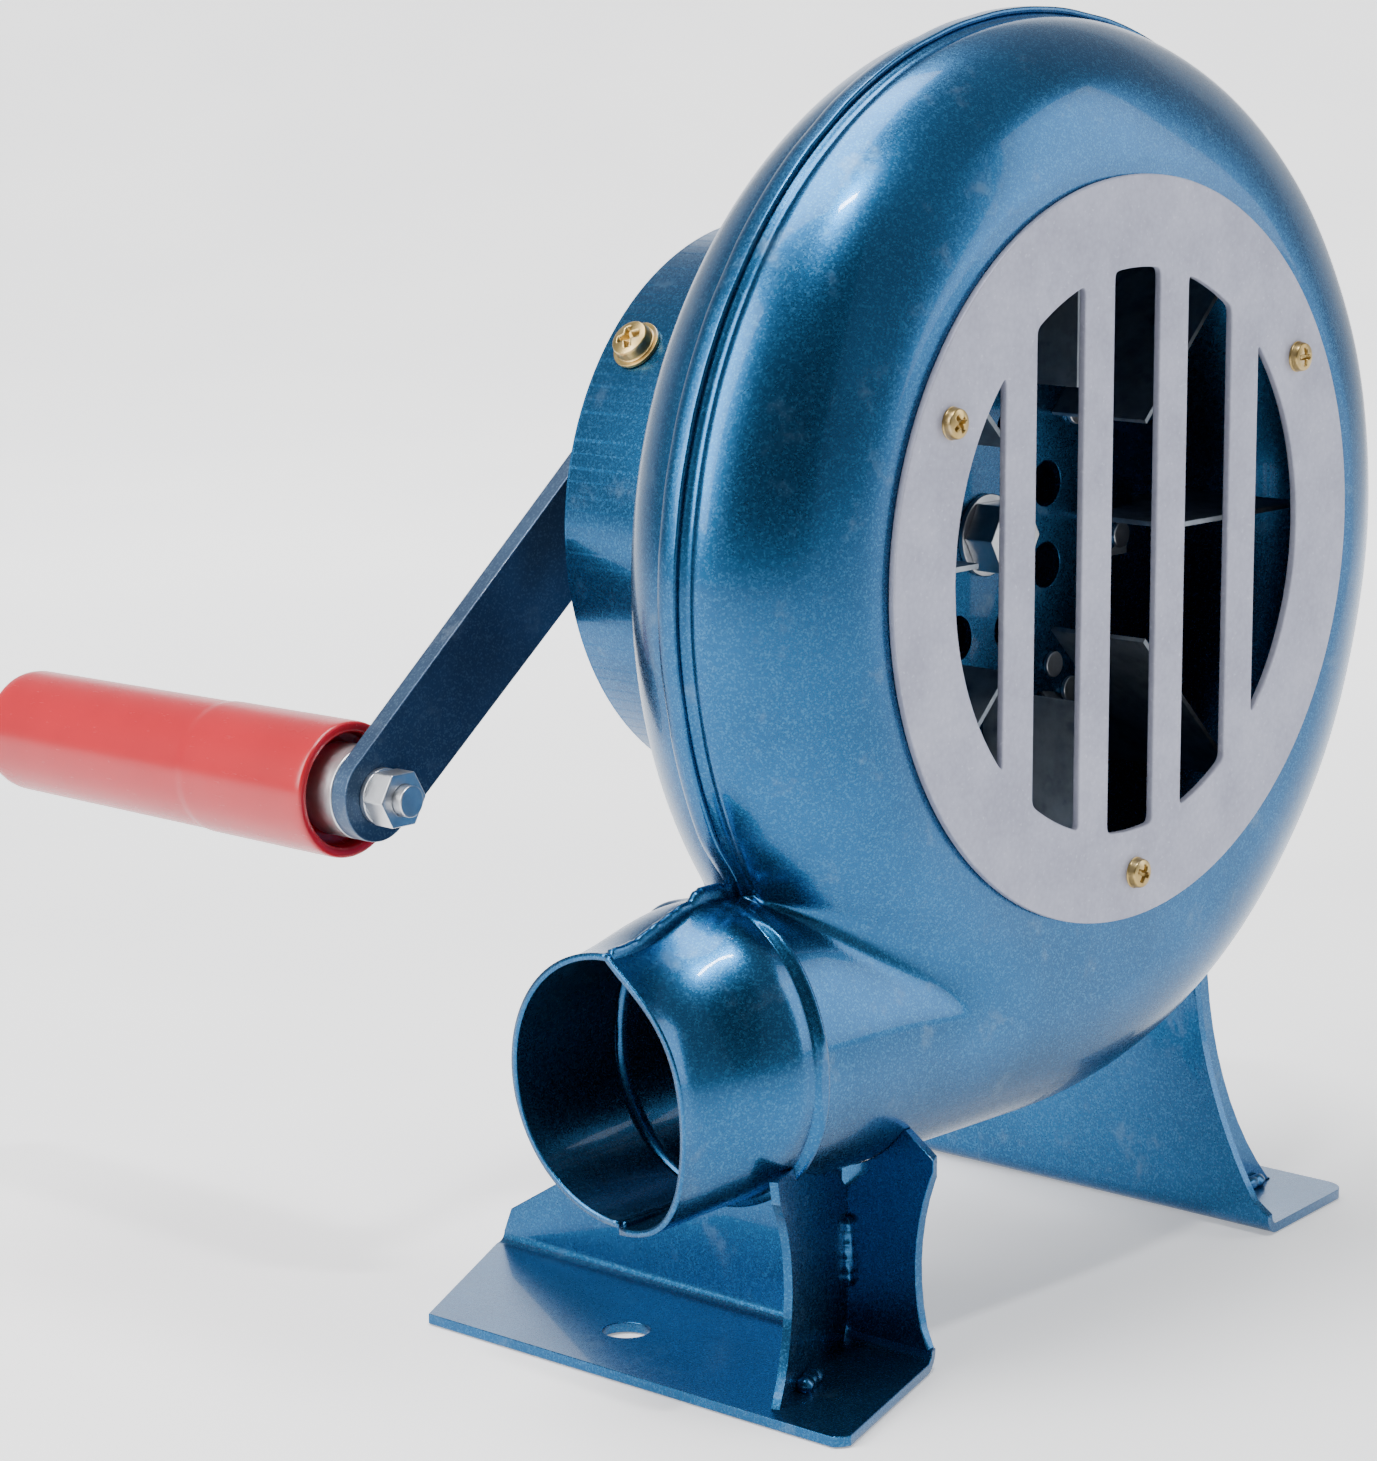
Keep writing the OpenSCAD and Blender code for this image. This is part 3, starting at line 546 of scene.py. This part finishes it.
def shellSide(name, side, flat, depth, hole, groove):
    rim, b = outline(230, 57, 60, 110)
    rows = 84
    t = np.linspace(0, 1, rows)[:, None]
    run = np.sin(t * math.pi / 2) ** 1.15
    length = np.hypot(rim[:, 0], rim[:, 1])
    inner = rim * (hole / length)[:, None]
    x = inner[:, 0] + (rim[:, 0] - inner[:, 0]) * run
    z = inner[:, 1] + (rim[:, 1] - inner[:, 1]) * run
    h = casingDepth(x, z, flat, depth)
    pinchIn = groove * np.exp(-(((h - 4.0) / 1.1) ** 2)) * (np.hypot(x, z) > 90)
    x, z = x * (1 - pinchIn / 99), z * (1 - pinchIn / 99)
    body = np.stack([x, side * h, z + casing["axisHeight"]], 2)
    pipe = pipeGrid(b, side)
    parts = [
        (body, gridFaces(rows, len(rim), closeColumns=True)),
        (pipe, gridFaces(len(pipe), len(b))),
    ]
    points, faces = joined(parts)
    points[:, 1] += side * 0.10 * ripple(points, 46.0) * smoothStep(0, 8, np.abs(points[:, 1]))
    points[:, 1] = np.clip(points[:, 1], -depth, depth)
    obj = meshObject(name, points, faces)
    centre = obj.data.polygons[len(obj.data.polygons) // 40]
    if centre.normal.y * side < 0:
        obj.data.flip_normals()
    addSolid(obj, casing["sheet"])
    return obj


frontShell = shellSide("casing_front", -1, 72.0, 25.6, 56.0, 0.75)
setUp(frontShell, bluePaint, "housing", "blue_paint", "front_shell")
rearShell = shellSide("casing_rear", 1, 63.0, 26.0, 7.1, 0.0)
setUp(rearShell, bluePaint, "housing", "blue_paint", "rear_shell")

# The rear bowl's lip: a band rolled over the edge of the front bowl, as (radius, y) pairs.
lip = {"out": 1.15, "front": -2.5, "back": 1.8, "round": 0.7}


def lipGrid(rim, shift, start, sweep, steps):
    out, front, back = lip["out"], lip["front"], lip["back"]
    profile = rounded(
        [
            (rim - 0.9, back + 1.4),
            (rim + out * 0.65, back),
            (rim + out, 0.3),
            (rim + out, front),
            (rim + 0.1, front),
            (rim - 0.5, front + 1.2),
        ],
        lip["round"],
    )
    points, faces = turned(profile, (-shift, casing["axisHeight"]), steps, start, sweep)
    share = np.linspace(0, 1, steps)[None, :]
    ends = smoothStep(0, 0.03, share) * smoothStep(1, 0.97, share)
    drop = (1 - ends) * 0.9
    centre = np.array([-shift, 0.0, casing["axisHeight"]])
    off = points - centre
    ring = np.hypot(off[..., 0], off[..., 2])
    wave = 0.10 * np.sin(share * 61.0) + 0.07 * np.sin(share * 143.0 + 1.0)
    new = ring - drop * (ring > rim - 0.4) + np.where(ring > rim, np.clip(wave, -0.2, 0.0), 0.0)
    points[..., 0] = centre[0] + off[..., 0] * new / ring
    points[..., 2] = centre[2] + off[..., 2] * new / ring
    return points, faces


lipParts = joined(
    [
        lipGrid(casing["rim"], 0.0, 0.0, 212.0, 300),
        lipGrid(casing["scrollRim"], casing["shift"], 276.0, 84.0, 120),
    ]
)
rearLip = meshObject("rear_lip", *lipParts)
setUp(rearLip, bluePaint, "housing", "blue_paint")


# A rounded strip carried along a path on the seam plane; height and thickness vary along it.
def seamStrip(x, base, top, half):
    a = np.linspace(0, 2 * np.pi, 16, endpoint=False)
    corner = np.sign(np.cos(a)) * np.abs(np.cos(a)) ** 0.6
    upright = np.sign(np.sin(a)) * np.abs(np.sin(a)) ** 0.6
    middle, reach = (top + base) / 2, (top - base) / 2
    points = np.stack(
        [
            np.repeat(x[:, None], len(a), 1),
            half[:, None] * corner[None, :],
            middle[:, None] + reach[:, None] * upright[None, :],
        ],
        2,
    )
    parts = [(points, gridFaces(len(x), len(a), closeColumns=True))]
    for row, flip in ((0, False), (len(x) - 1, True)):
        ring = points[row]
        hub = np.repeat(ring.mean(0)[None], len(a), 0)
        parts.append((np.stack([ring, hub]), gridFaces(2, len(a), closeColumns=True, flip=flip)))
    return joined(parts)


def seamLips():
    c = casing
    crown = c["axisHeight"] - c["pipeDrop"] + c["pipe"]
    x = np.linspace(c["mouth"] - 1.6, -79.0, 170)
    jag = 0.30 * np.sin(x * 0.83) + 0.22 * np.sin(x * 1.9 + 2) + 0.10 * np.sin(x * 3.1)
    tip = smoothStep(-94.0, -91.5, x)
    rise = 0.9 + 0.5 * smoothStep(-112, -96, x) + 1.6 * tip
    top = crown + crownRise(x) + rise + jag * (0.25 + 0.75 * tip)
    top = np.minimum(top, 92.4)
    base = crown + crownRise(x) - 2.0
    half = 0.8 + 0.25 * tip
    upper = seamStrip(x, base, top, half)
    x = np.linspace(c["mouth"] + 1.0, c["bead"] + 4, 60)
    floor = c["axisHeight"] - c["pipeDrop"] - c["pipe"]
    drop = 1.3 + 0.25 * np.sin(x * 0.9)
    lower = seamStrip(x, floor - drop, np.full_like(x, floor + 1.0), np.full_like(x, 0.8))
    return joined([upper, lower])


seam = meshObject("seam_lips", *seamLips())
setUp(seam, bluePaint, "housing", "blue_paint", "seam_flange")

print("stage: grille")
grille = {
    "radius": 70.0,
    "thickness": 1.5,
    "front": -27.1,
    "windowRadius": 53.0,
    "windows": 5,
    "bar": 9.0,
    "corner": 3.2,
    "edge": 0.28,
    "screwCircle": 61.5,
    "screwAngles": (32.0, 152.0, 272.0),
}


# Outline of one window: the circle of the windows between two upright lines, corners rounded.
def windowOutline(low, high):
    reach, cut = grille["windowRadius"], grille["corner"]
    x = np.linspace(low, high, 40)
    x = np.clip(x, -reach, reach)
    y = np.sqrt(np.clip(reach * reach - x * x, 0, None))
    upper = np.stack([x, y], 1)
    lower = np.stack([x[::-1], -y[::-1]], 1)
    points = np.concatenate([upper, lower])
    step = np.linalg.norm(np.diff(points, axis=0, append=points[:1]), axis=1)
    points = points[step > 1e-6]
    ring = np.concatenate([points, points[:1]])
    length = np.concatenate([[0], np.cumsum(np.linalg.norm(np.diff(ring, axis=0), axis=1))])
    s = np.linspace(0, length[-1], 400, endpoint=False)
    dense = np.stack([np.interp(s, length, ring[:, k]) for k in (0, 1)], 1)
    width = max(3, int(cut / (length[-1] / 400) * 1.3) | 1)
    kernel = np.hanning(width + 2)[1:-1]
    kernel /= kernel.sum()
    wide = np.concatenate([dense[-width:], dense, dense[:width]])
    smooth = np.stack([np.convolve(wide[:, k], kernel, "same") for k in (0, 1)], 1)
    return smooth[width:-width]


def addSpline(curve, points):
    spline = curve.splines.new("POLY")
    spline.points.add(len(points) - 1)
    flat = np.zeros((len(points), 4))
    flat[:, :2] = np.asarray(points) / 1000
    flat[:, 3] = 1
    spline.points.foreach_set("co", flat.ravel())
    spline.use_cyclic_u = True


def grillePlate():
    g = grille
    curve = bpy.data.curves.new("grille", "CURVE")
    curve.dimensions, curve.fill_mode = "2D", "BOTH"
    curve.extrude = (g["thickness"] / 2 - g["edge"]) / 1000
    curve.bevel_depth, curve.bevel_resolution = g["edge"] / 1000, 2
    curve.offset = -g["edge"] / 1000
    a = np.linspace(0, 2 * np.pi, 240, endpoint=False)
    addSpline(curve, g["radius"] * np.stack([np.cos(a), np.sin(a)], 1))
    width = (2 * g["windowRadius"] - (g["windows"] - 1) * g["bar"]) / g["windows"]
    for i in range(g["windows"]):
        low = -g["windowRadius"] + i * (width + g["bar"])
        addSpline(curve, windowOutline(low, low + width))
    holder = bpy.data.objects.new("grilleCurve", curve)
    bpy.context.scene.collection.objects.link(holder)
    bpy.context.view_layer.update()
    mesh = bpy.data.meshes.new_from_object(holder)
    bpy.data.objects.remove(holder)
    middle = np.array([0, g["front"] + g["thickness"] / 2, casing["axisHeight"]])
    shift = Matrix.Translation(Vector(toFrame(middle)))
    mesh.transform(shift @ Matrix.Rotation(math.pi / 2, 4, "X"))
    mesh.name = "grille_plate"
    obj = bpy.data.objects.new("grille_plate", mesh)
    bpy.context.scene.collection.objects.link(obj)
    mesh.polygons.foreach_set("use_smooth", np.full(len(mesh.polygons), True))
    mesh.set_sharp_from_angle(angle=math.radians(50))
    return obj


setUp(grillePlate(), grillePaint, "housing", "grille_silver", "intake_grille")


# Pan screw with a cross recess, as a turned head whose top is pushed in along two slots. The head
# sits on the plane through seat, and outward is the way the head faces.
def panHead(seat, outward, radius, height, twist, slot=0.26, deep=0.62):
    ring = np.linspace(0, 1, 34)[:, None]
    a = np.linspace(0, 2 * np.pi, 72, endpoint=False)[None, :]
    r = radius * (0.02 + 0.98 * ring)
    dome = height * (1 - 0.28 * ring**2 - 0.72 * smoothStep(0.86, 1.0, ring) * ring**6)
    u, v = r * np.cos(a + twist), r * np.sin(a + twist)
    narrow = radius * slot * 0.5
    arm = radius * 0.62
    onCross = np.maximum(
        smoothStep(narrow * 1.5, narrow * 0.7, np.abs(u)) * smoothStep(arm, arm * 0.8, np.abs(v)),
        smoothStep(narrow * 1.5, narrow * 0.7, np.abs(v)) * smoothStep(arm, arm * 0.8, np.abs(u)),
    )
    taper = 1 - 0.45 * np.hypot(u, v) / arm
    w = dome - onCross * height * deep * np.clip(taper, 0.2, 1)
    skirt = np.array([[1.0, 0.06], [0.97, 0.0], [0.3, 0.0]])
    n = np.asarray(outward, float) / np.linalg.norm(outward)
    side = np.cross(n, (0.0, 0.3, 1.0))
    side /= np.linalg.norm(side)
    third = np.cross(n, side)
    r, w = np.broadcast_arrays(r, w)
    flatR = np.concatenate([r, radius * skirt[:, :1] * np.ones_like(a)])
    flatW = np.concatenate([w, height * skirt[:, 1:] * np.ones_like(a)])
    cos, sin = np.cos(a), np.sin(a)
    points = np.asarray(seat, float) + (
        (flatR * cos)[..., None] * side + (flatR * sin)[..., None] * third + flatW[..., None] * n
    )
    hub = np.repeat(points[:1].mean(1, keepdims=True), points.shape[1], 1)
    points = np.concatenate([hub, points])
    return points, gridFaces(len(points), points.shape[1], closeColumns=True)


def onCircle(centre, radius, degrees, y):
    a = math.radians(degrees)
    return np.array([centre[0] + radius * math.cos(a), y, centre[1] + radius * math.sin(a)])


grilleHeads = [
    panHead(onCircle(fanCentre, grille["screwCircle"], a, grille["front"]), (0, -1, 0), 3.0, 2.1, k)
    for k, a in enumerate(grille["screwAngles"])
]
setUp(
    meshObject("grille_screw_heads", *joined(grilleHeads)),
    yellowZinc,
    "housing",
    "yellow_zinc",
    "grille_screws",
)

print("stage: gear case")
case = {
    "centre": (-2.5, 147.0),
    "radius": 56.3,
    "back": 63.6,
    "front": 26.0,
    "screwY": 55.5,
    "screwAngles": (22.0, 142.0, 262.0),
}
caseWall = rounded(
    [
        (54.6, 58.0),
        (54.8, case["back"]),
        (case["radius"], case["back"]),
        (case["radius"], 26.4),
        (53.0, 26.1),
    ],
    0.6,
)
setUp(
    meshObject("gear_case_wall", *turned(caseWall, case["centre"], 192)),
    bluePaint,
    "housing",
    "blue_paint",
)
setUp(softened("gear_case_pan", "gear_case", 0.15), bluePaint, "housing", "blue_paint", "gear_case")
setUp(softened("gear_cover_plate", "gear_cover", 0.4), bluePaint, "housing", "blue_paint", "gear_cover")


def caseHeads():
    parts = []
    for k, degrees in enumerate(case["screwAngles"]):
        a = math.radians(degrees)
        outward = (math.cos(a), 0.0, math.sin(a))
        seat = onCircle(case["centre"], case["radius"] + 0.8, degrees, case["screwY"])
        parts.append(panHead(seat, outward, 4.2, 2.95, 0.5 + k))
    return joined(parts)


setUp(meshObject("case_screw_heads", *caseHeads()), yellowZinc, "housing", "yellow_zinc", "cover_screws")

print("stage: feet")
for node in ("left_foot", "right_foot", "left_gusset", "right_gusset"):
    piece = softened(node + "_sheet", node, 0.45, 3)
    setUp(piece, bluePaint, "housing", "blue_paint", node)

# Lumpy weld beads between the gussets, the feet and the casing: (start, end, radius) of each.
welds = {
    "leftFlange": ((-86.9, -20.6, 3.0), (-77.7, -16.6, 3.0), 1.8),
    "leftWeb": ((-58.6, -7.2, 12.0), (-58.6, -7.2, 26.0), 1.5),
    "rightFlange": ((66.0, -7.6, 3.0), (75.0, -7.6, 3.0), 1.6),
    "rightWeb": ((53.0, -7.2, 12.0), (53.0, -7.2, 30.0), 1.5),
}


def weldBead(start, end, radius):
    start, end = np.array(start, float), np.array(end, float)
    along = end - start
    length = np.linalg.norm(along)
    along = along / length
    side = np.cross(along, (0.31, 0.95, 0.1))
    side /= np.linalg.norm(side)
    third = np.cross(along, side)
    t = np.linspace(0, 1, 60)[:, None]
    a = np.linspace(0, 2 * np.pi, 24, endpoint=False)[None, :]
    dome = np.clip(1 - (2 * t - 1) ** 6, 0.0, None) ** 0.5
    scallop = 1 + 0.12 * np.abs(np.sin(t * length * 1.1)) + 0.06 * np.sin(5 * a + t * 9)
    r = radius * 0.85 * dome * scallop
    points = start + (t * length)[..., None] * along + (
        (r * np.cos(a))[..., None] * side + (r * np.sin(a))[..., None] * third
    )
    return points, gridFaces(60, 24, closeColumns=True)


setUp(
    meshObject("weld_beads", *joined([weldBead(*w) for w in welds.values()])),
    bluePaint,
    "housing",
    "blue_paint",
    "foot_welds",
)

print("stage: crank")
setUp(softened("crank_arm_bar", "crank_arm", 0.5, 3), slatePaint, "crank", "slate_paint", "crank_arm")
for node in ("grip_nut", "crank_nut"):
    piece = softened(node + "_hex", node, 0.35, 3)
    setUp(piece, brightZinc, "crank", "bright_zinc", node)
for node in ("grip_bolt", "grip_sleeve", "grip_lock_washer", "grip_washer", "crank_washer"):
    piece = softened(node + "_part", node, 0.3, 3)
    setUp(piece, brightZinc, "crank", "bright_zinc", node)

# The grip's outside from the arm to its free end, with the mould's step a third of the way along.
grip = {
    "centre": (-102.178, 101.2577),
    "start": 78.0,
    "length": 94.0,
    "nearRadius": 13.05,
    "farRadius": 12.25,
    "stepAt": 0.36,
    "stepHeight": 0.22,
    "recess": 10.9,
    "recessDepth": 4.4,
}


def gripProfile():
    g = grip
    start, end = g["start"], g["start"] + g["length"]
    y = np.linspace(start + 1.6, end - 2.6, 90)
    share = (y - start) / g["length"]
    r = g["nearRadius"] + (g["farRadius"] - g["nearRadius"]) * share
    r = r - g["stepHeight"] * smoothStep(g["stepAt"], g["stepAt"] + 0.006, share)
    outside = np.stack([r, y], 1)
    near = rounded(
        [
            (3.1, start + g["recessDepth"]),
            (g["recess"], start + g["recessDepth"]),
            (g["recess"], start),
            (r[0] - 0.1, start),
            (r[0], start + 1.6),
        ],
        1.0,
    )
    far = rounded(
        [(r[-1], end - 2.6), (r[-1] - 0.4, end), (8.0, end), (8.0, end - 12), (3.1, end - 12)], 1.6
    )
    bore = np.array([(3.1, end - 40), (3.1, start + g["recessDepth"])])
    return np.concatenate([near, outside[1:-1], far, bore])


gripPoints, gripFaces = turned(gripProfile(), grip["centre"], 128)
setUp(meshObject("grip_handle", gripPoints, gripFaces), redGrip, "grip", "red_plastic", "grip")

print("stage: inner parts")
softEdges = {
    "galvanised_steel": (galvanised, ("impeller_blades",), 0.2),
    "blue_paint": (wheelPaint, ("impeller_plate",), 0.3),
    "bright_zinc": (
        brightZinc,
        ("impeller_rivets", "impeller_nut", "impeller_washer", "case_rivets"),
        0.25,
    ),
    "machined_steel": (
        turnedSteel,
        ("impeller_hub", "fan_shaft", "idler_shaft", "crank_shaft", "crank_collar"),
        0.3,
    ),
    "bush_bronze": (
        bronze,
        ("fan_rear_bush", "crank_rear_bush", "fan_front_bush", "crank_front_bush"),
        0.25,
    ),
    "yellow_zinc": (yellowZinc, ("cover_washers",), 0.15),
}
bodyOf = {n: b for b, names in frame["record"]["behaviour"]["bodies"].items() for n in names}
for slotName, (material, nodes, edge) in softEdges.items():
    for node in nodes:
        setUp(softened(node + "_part", node, edge), material, bodyOf[node], slotName, node)
for node in ("fan_pinion", "idler_pinion", "idler_wheel", "crank_gear"):
    frame["nodes"][node].data.materials.clear()
    frame["nodes"][node].data.materials.append(turnedSteel)

print("stage: studio")
camera = {
    "turn": -47.64,
    "rise": 10.71,
    "roll": -0.2,
    "position": (-636.3, -494.7, 260.0),
    "focal": 4254.0,
}

# The pale paper under and behind the blower. Its glow grows with the distance behind the fan
# axis as the camera sees it and fades to the sides; places and widths are in metres.
paper = {
    "light": rgb(0.90, 0.90, 0.90),
    "shade": rgb(0.86, 0.86, 0.87),
    "dim": rgb(0.22, 0.22, 0.22),
    "glowFrom": 0.1,
    "glowFull": 1.1,
    "sideFrom": 0.5,
    "sideEnd": 1.0,
    "glowStrength": 1.7,
    "curlStart": 1.6,
}

floorLook = Graph("floorPaper")
floorTone = floorLook.noise(180.0, 3.0).rise(0.3, 0.7)
floorColour = floorLook.mix(floorTone, paper["shade"], paper["light"])
turnSine, turnCosine = -math.sin(math.radians(camera["turn"])), math.cos(math.radians(camera["turn"]))
ahead = floorLook.axis("X") * turnSine + floorLook.axis("Y") * turnCosine
aside = (floorLook.axis("X") * turnCosine - floorLook.axis("Y") * turnSine).maths("ABSOLUTE")
middle = aside.rise(paper["sideFrom"], paper["sideEnd"]) * -1.0 + 1.0
glow = ahead.rise(paper["glowFrom"], paper["glowFull"]) * middle
glowColour = floorLook.mix(glow, paper["dim"], floorColour)
floorMaterial = floorLook.finish(
    Base_Color=floorColour,
    Roughness=floorTone * 0.1 + 0.6,
    Normal=floorLook.bump(floorTone, 0.1, 0.1),
    Emission_Color=glowColour,
    Emission_Strength=paper["glowStrength"],
)


# One sheet of pale paper that lies flat under the blower and curves up far behind it.
def backdrop():
    across = np.linspace(-4.0, 4.0, 9)
    start = paper["curlStart"]
    run = np.concatenate([np.linspace(-3.0, start, 12), start + np.linspace(0.1, 2.4, 24)])
    height = np.clip(run - start, 0, None) ** 2 * 0.5
    turn = math.radians(camera["turn"])
    ahead = np.array([-math.sin(turn), math.cos(turn)])
    side = np.array([math.cos(turn), math.sin(turn)])
    points = np.zeros((len(run), len(across), 3))
    points[..., 0] = run[:, None] * ahead[0] + across[None, :] * side[0]
    points[..., 1] = run[:, None] * ahead[1] + across[None, :] * side[1]
    points[..., 2] = height[:, None] - 0.0003
    return points * 1000 - seamFoot, gridFaces(len(run), len(across))


floor = meshObject("floor", *backdrop(), recalc=False)
floor.data.materials.append(floorMaterial)


def placeCamera():
    a, e, roll = (math.radians(camera[k]) for k in ("turn", "rise", "roll"))
    back = Vector((math.sin(a) * math.cos(e), -math.cos(a) * math.cos(e), math.sin(e)))
    right = Vector((math.cos(a), math.sin(a), 0.0))
    up = back.cross(right)
    across = right * math.cos(roll) + up * math.sin(roll)
    upward = up * math.cos(roll) - right * math.sin(roll)
    data = bpy.data.cameras.new("camera")
    data.sensor_fit, data.sensor_height = "VERTICAL", 36.0
    data.lens = camera["focal"] * 36.0 / frameSize[1]
    data.clip_start, data.clip_end = 0.01, 20.0
    holder = bpy.data.objects.new("camera", data)
    turn = Matrix((across, upward, back)).transposed()
    holder.matrix_world = Matrix.Translation(Vector(toFrame(camera["position"]))) @ turn.to_4x4()
    bpy.context.scene.collection.objects.link(holder)
    bpy.context.scene.camera = holder


placeCamera()

# Each light: place and aim in metres, width, height, watts, colour.
lights = {
    "key": ((-1.2, 0.45, 0.80), (0.0, 0.0, 0.15), 0.8, 1.2, 30.0, (1.0, 0.99, 0.98)),
    "streak": ((-0.334, -0.353, 1.338), (-0.059, -0.040, 0.213), 0.14, 0.035, 7.0, (1.0, 1.0, 1.0)),
    "front": ((1.1, -1.0, 0.6), (0.0, 0.0, 0.14), 0.6, 1.1, 8.0, (0.97, 0.98, 1.0)),
    "top": ((-0.1, 0.25, 1.35), (0.0, 0.0, 0.15), 1.0, 0.6, 22.0, (1.0, 1.0, 1.0)),
}


def placeLight(name, place, aim, width, height, power, colour):
    data = bpy.data.lights.new(name, "AREA")
    data.shape, data.size, data.size_y = "RECTANGLE", width, height
    data.energy, data.color = power, colour
    holder = bpy.data.objects.new(name, data)
    away = Vector(place) - Vector(aim)
    turn = away.to_track_quat("Z", "Y").to_matrix().to_4x4()
    holder.matrix_world = Matrix.Translation(Vector(place)) @ turn
    bpy.context.scene.collection.objects.link(holder)


for lightName, settings in lights.items():
    placeLight(lightName, *settings)

# A dark card behind the camera: the paint mirrors it as the deep band down the bowl.
card = {"distance": 1.35, "width": 1.7, "height": 2.0, "lift": 0.08}


def darkCard():
    a = math.radians(camera["turn"])
    back = np.array([math.sin(a), -math.cos(a), 0.0])
    side = np.array([math.cos(a), math.sin(a), 0.0])
    across, up = np.meshgrid([-0.5, 0.5], [0.0, 1.0])
    points = (
        back * card["distance"]
        + across[..., None] * card["width"] * side
        + (card["lift"] + up[..., None] * card["height"]) * np.array([0.0, 0.0, 1.0])
    )
    return points * 1000 - seamFoot, gridFaces(2, 2)


cardLook = Graph("cardFelt")
cardTone = cardLook.noise(30.0)
cardMaterial = cardLook.finish(
    Base_Color=cardLook.mix(cardTone, rgb(0.01, 0.01, 0.012), rgb(0.02, 0.02, 0.024)),
    Roughness=cardTone * 0.1 + 0.85,
)
darkSheet = meshObject("dark_card", *darkCard(), recalc=False)
darkSheet.data.materials.append(cardMaterial)

world = bpy.data.worlds.new("world")
bpy.context.scene.world = world
world.use_nodes = True
world.node_tree.nodes["Background"].inputs["Color"].default_value = rgb(0.95, 0.97, 1.0)
world.node_tree.nodes["Background"].inputs["Strength"].default_value = 0.42

print("stage: finish")
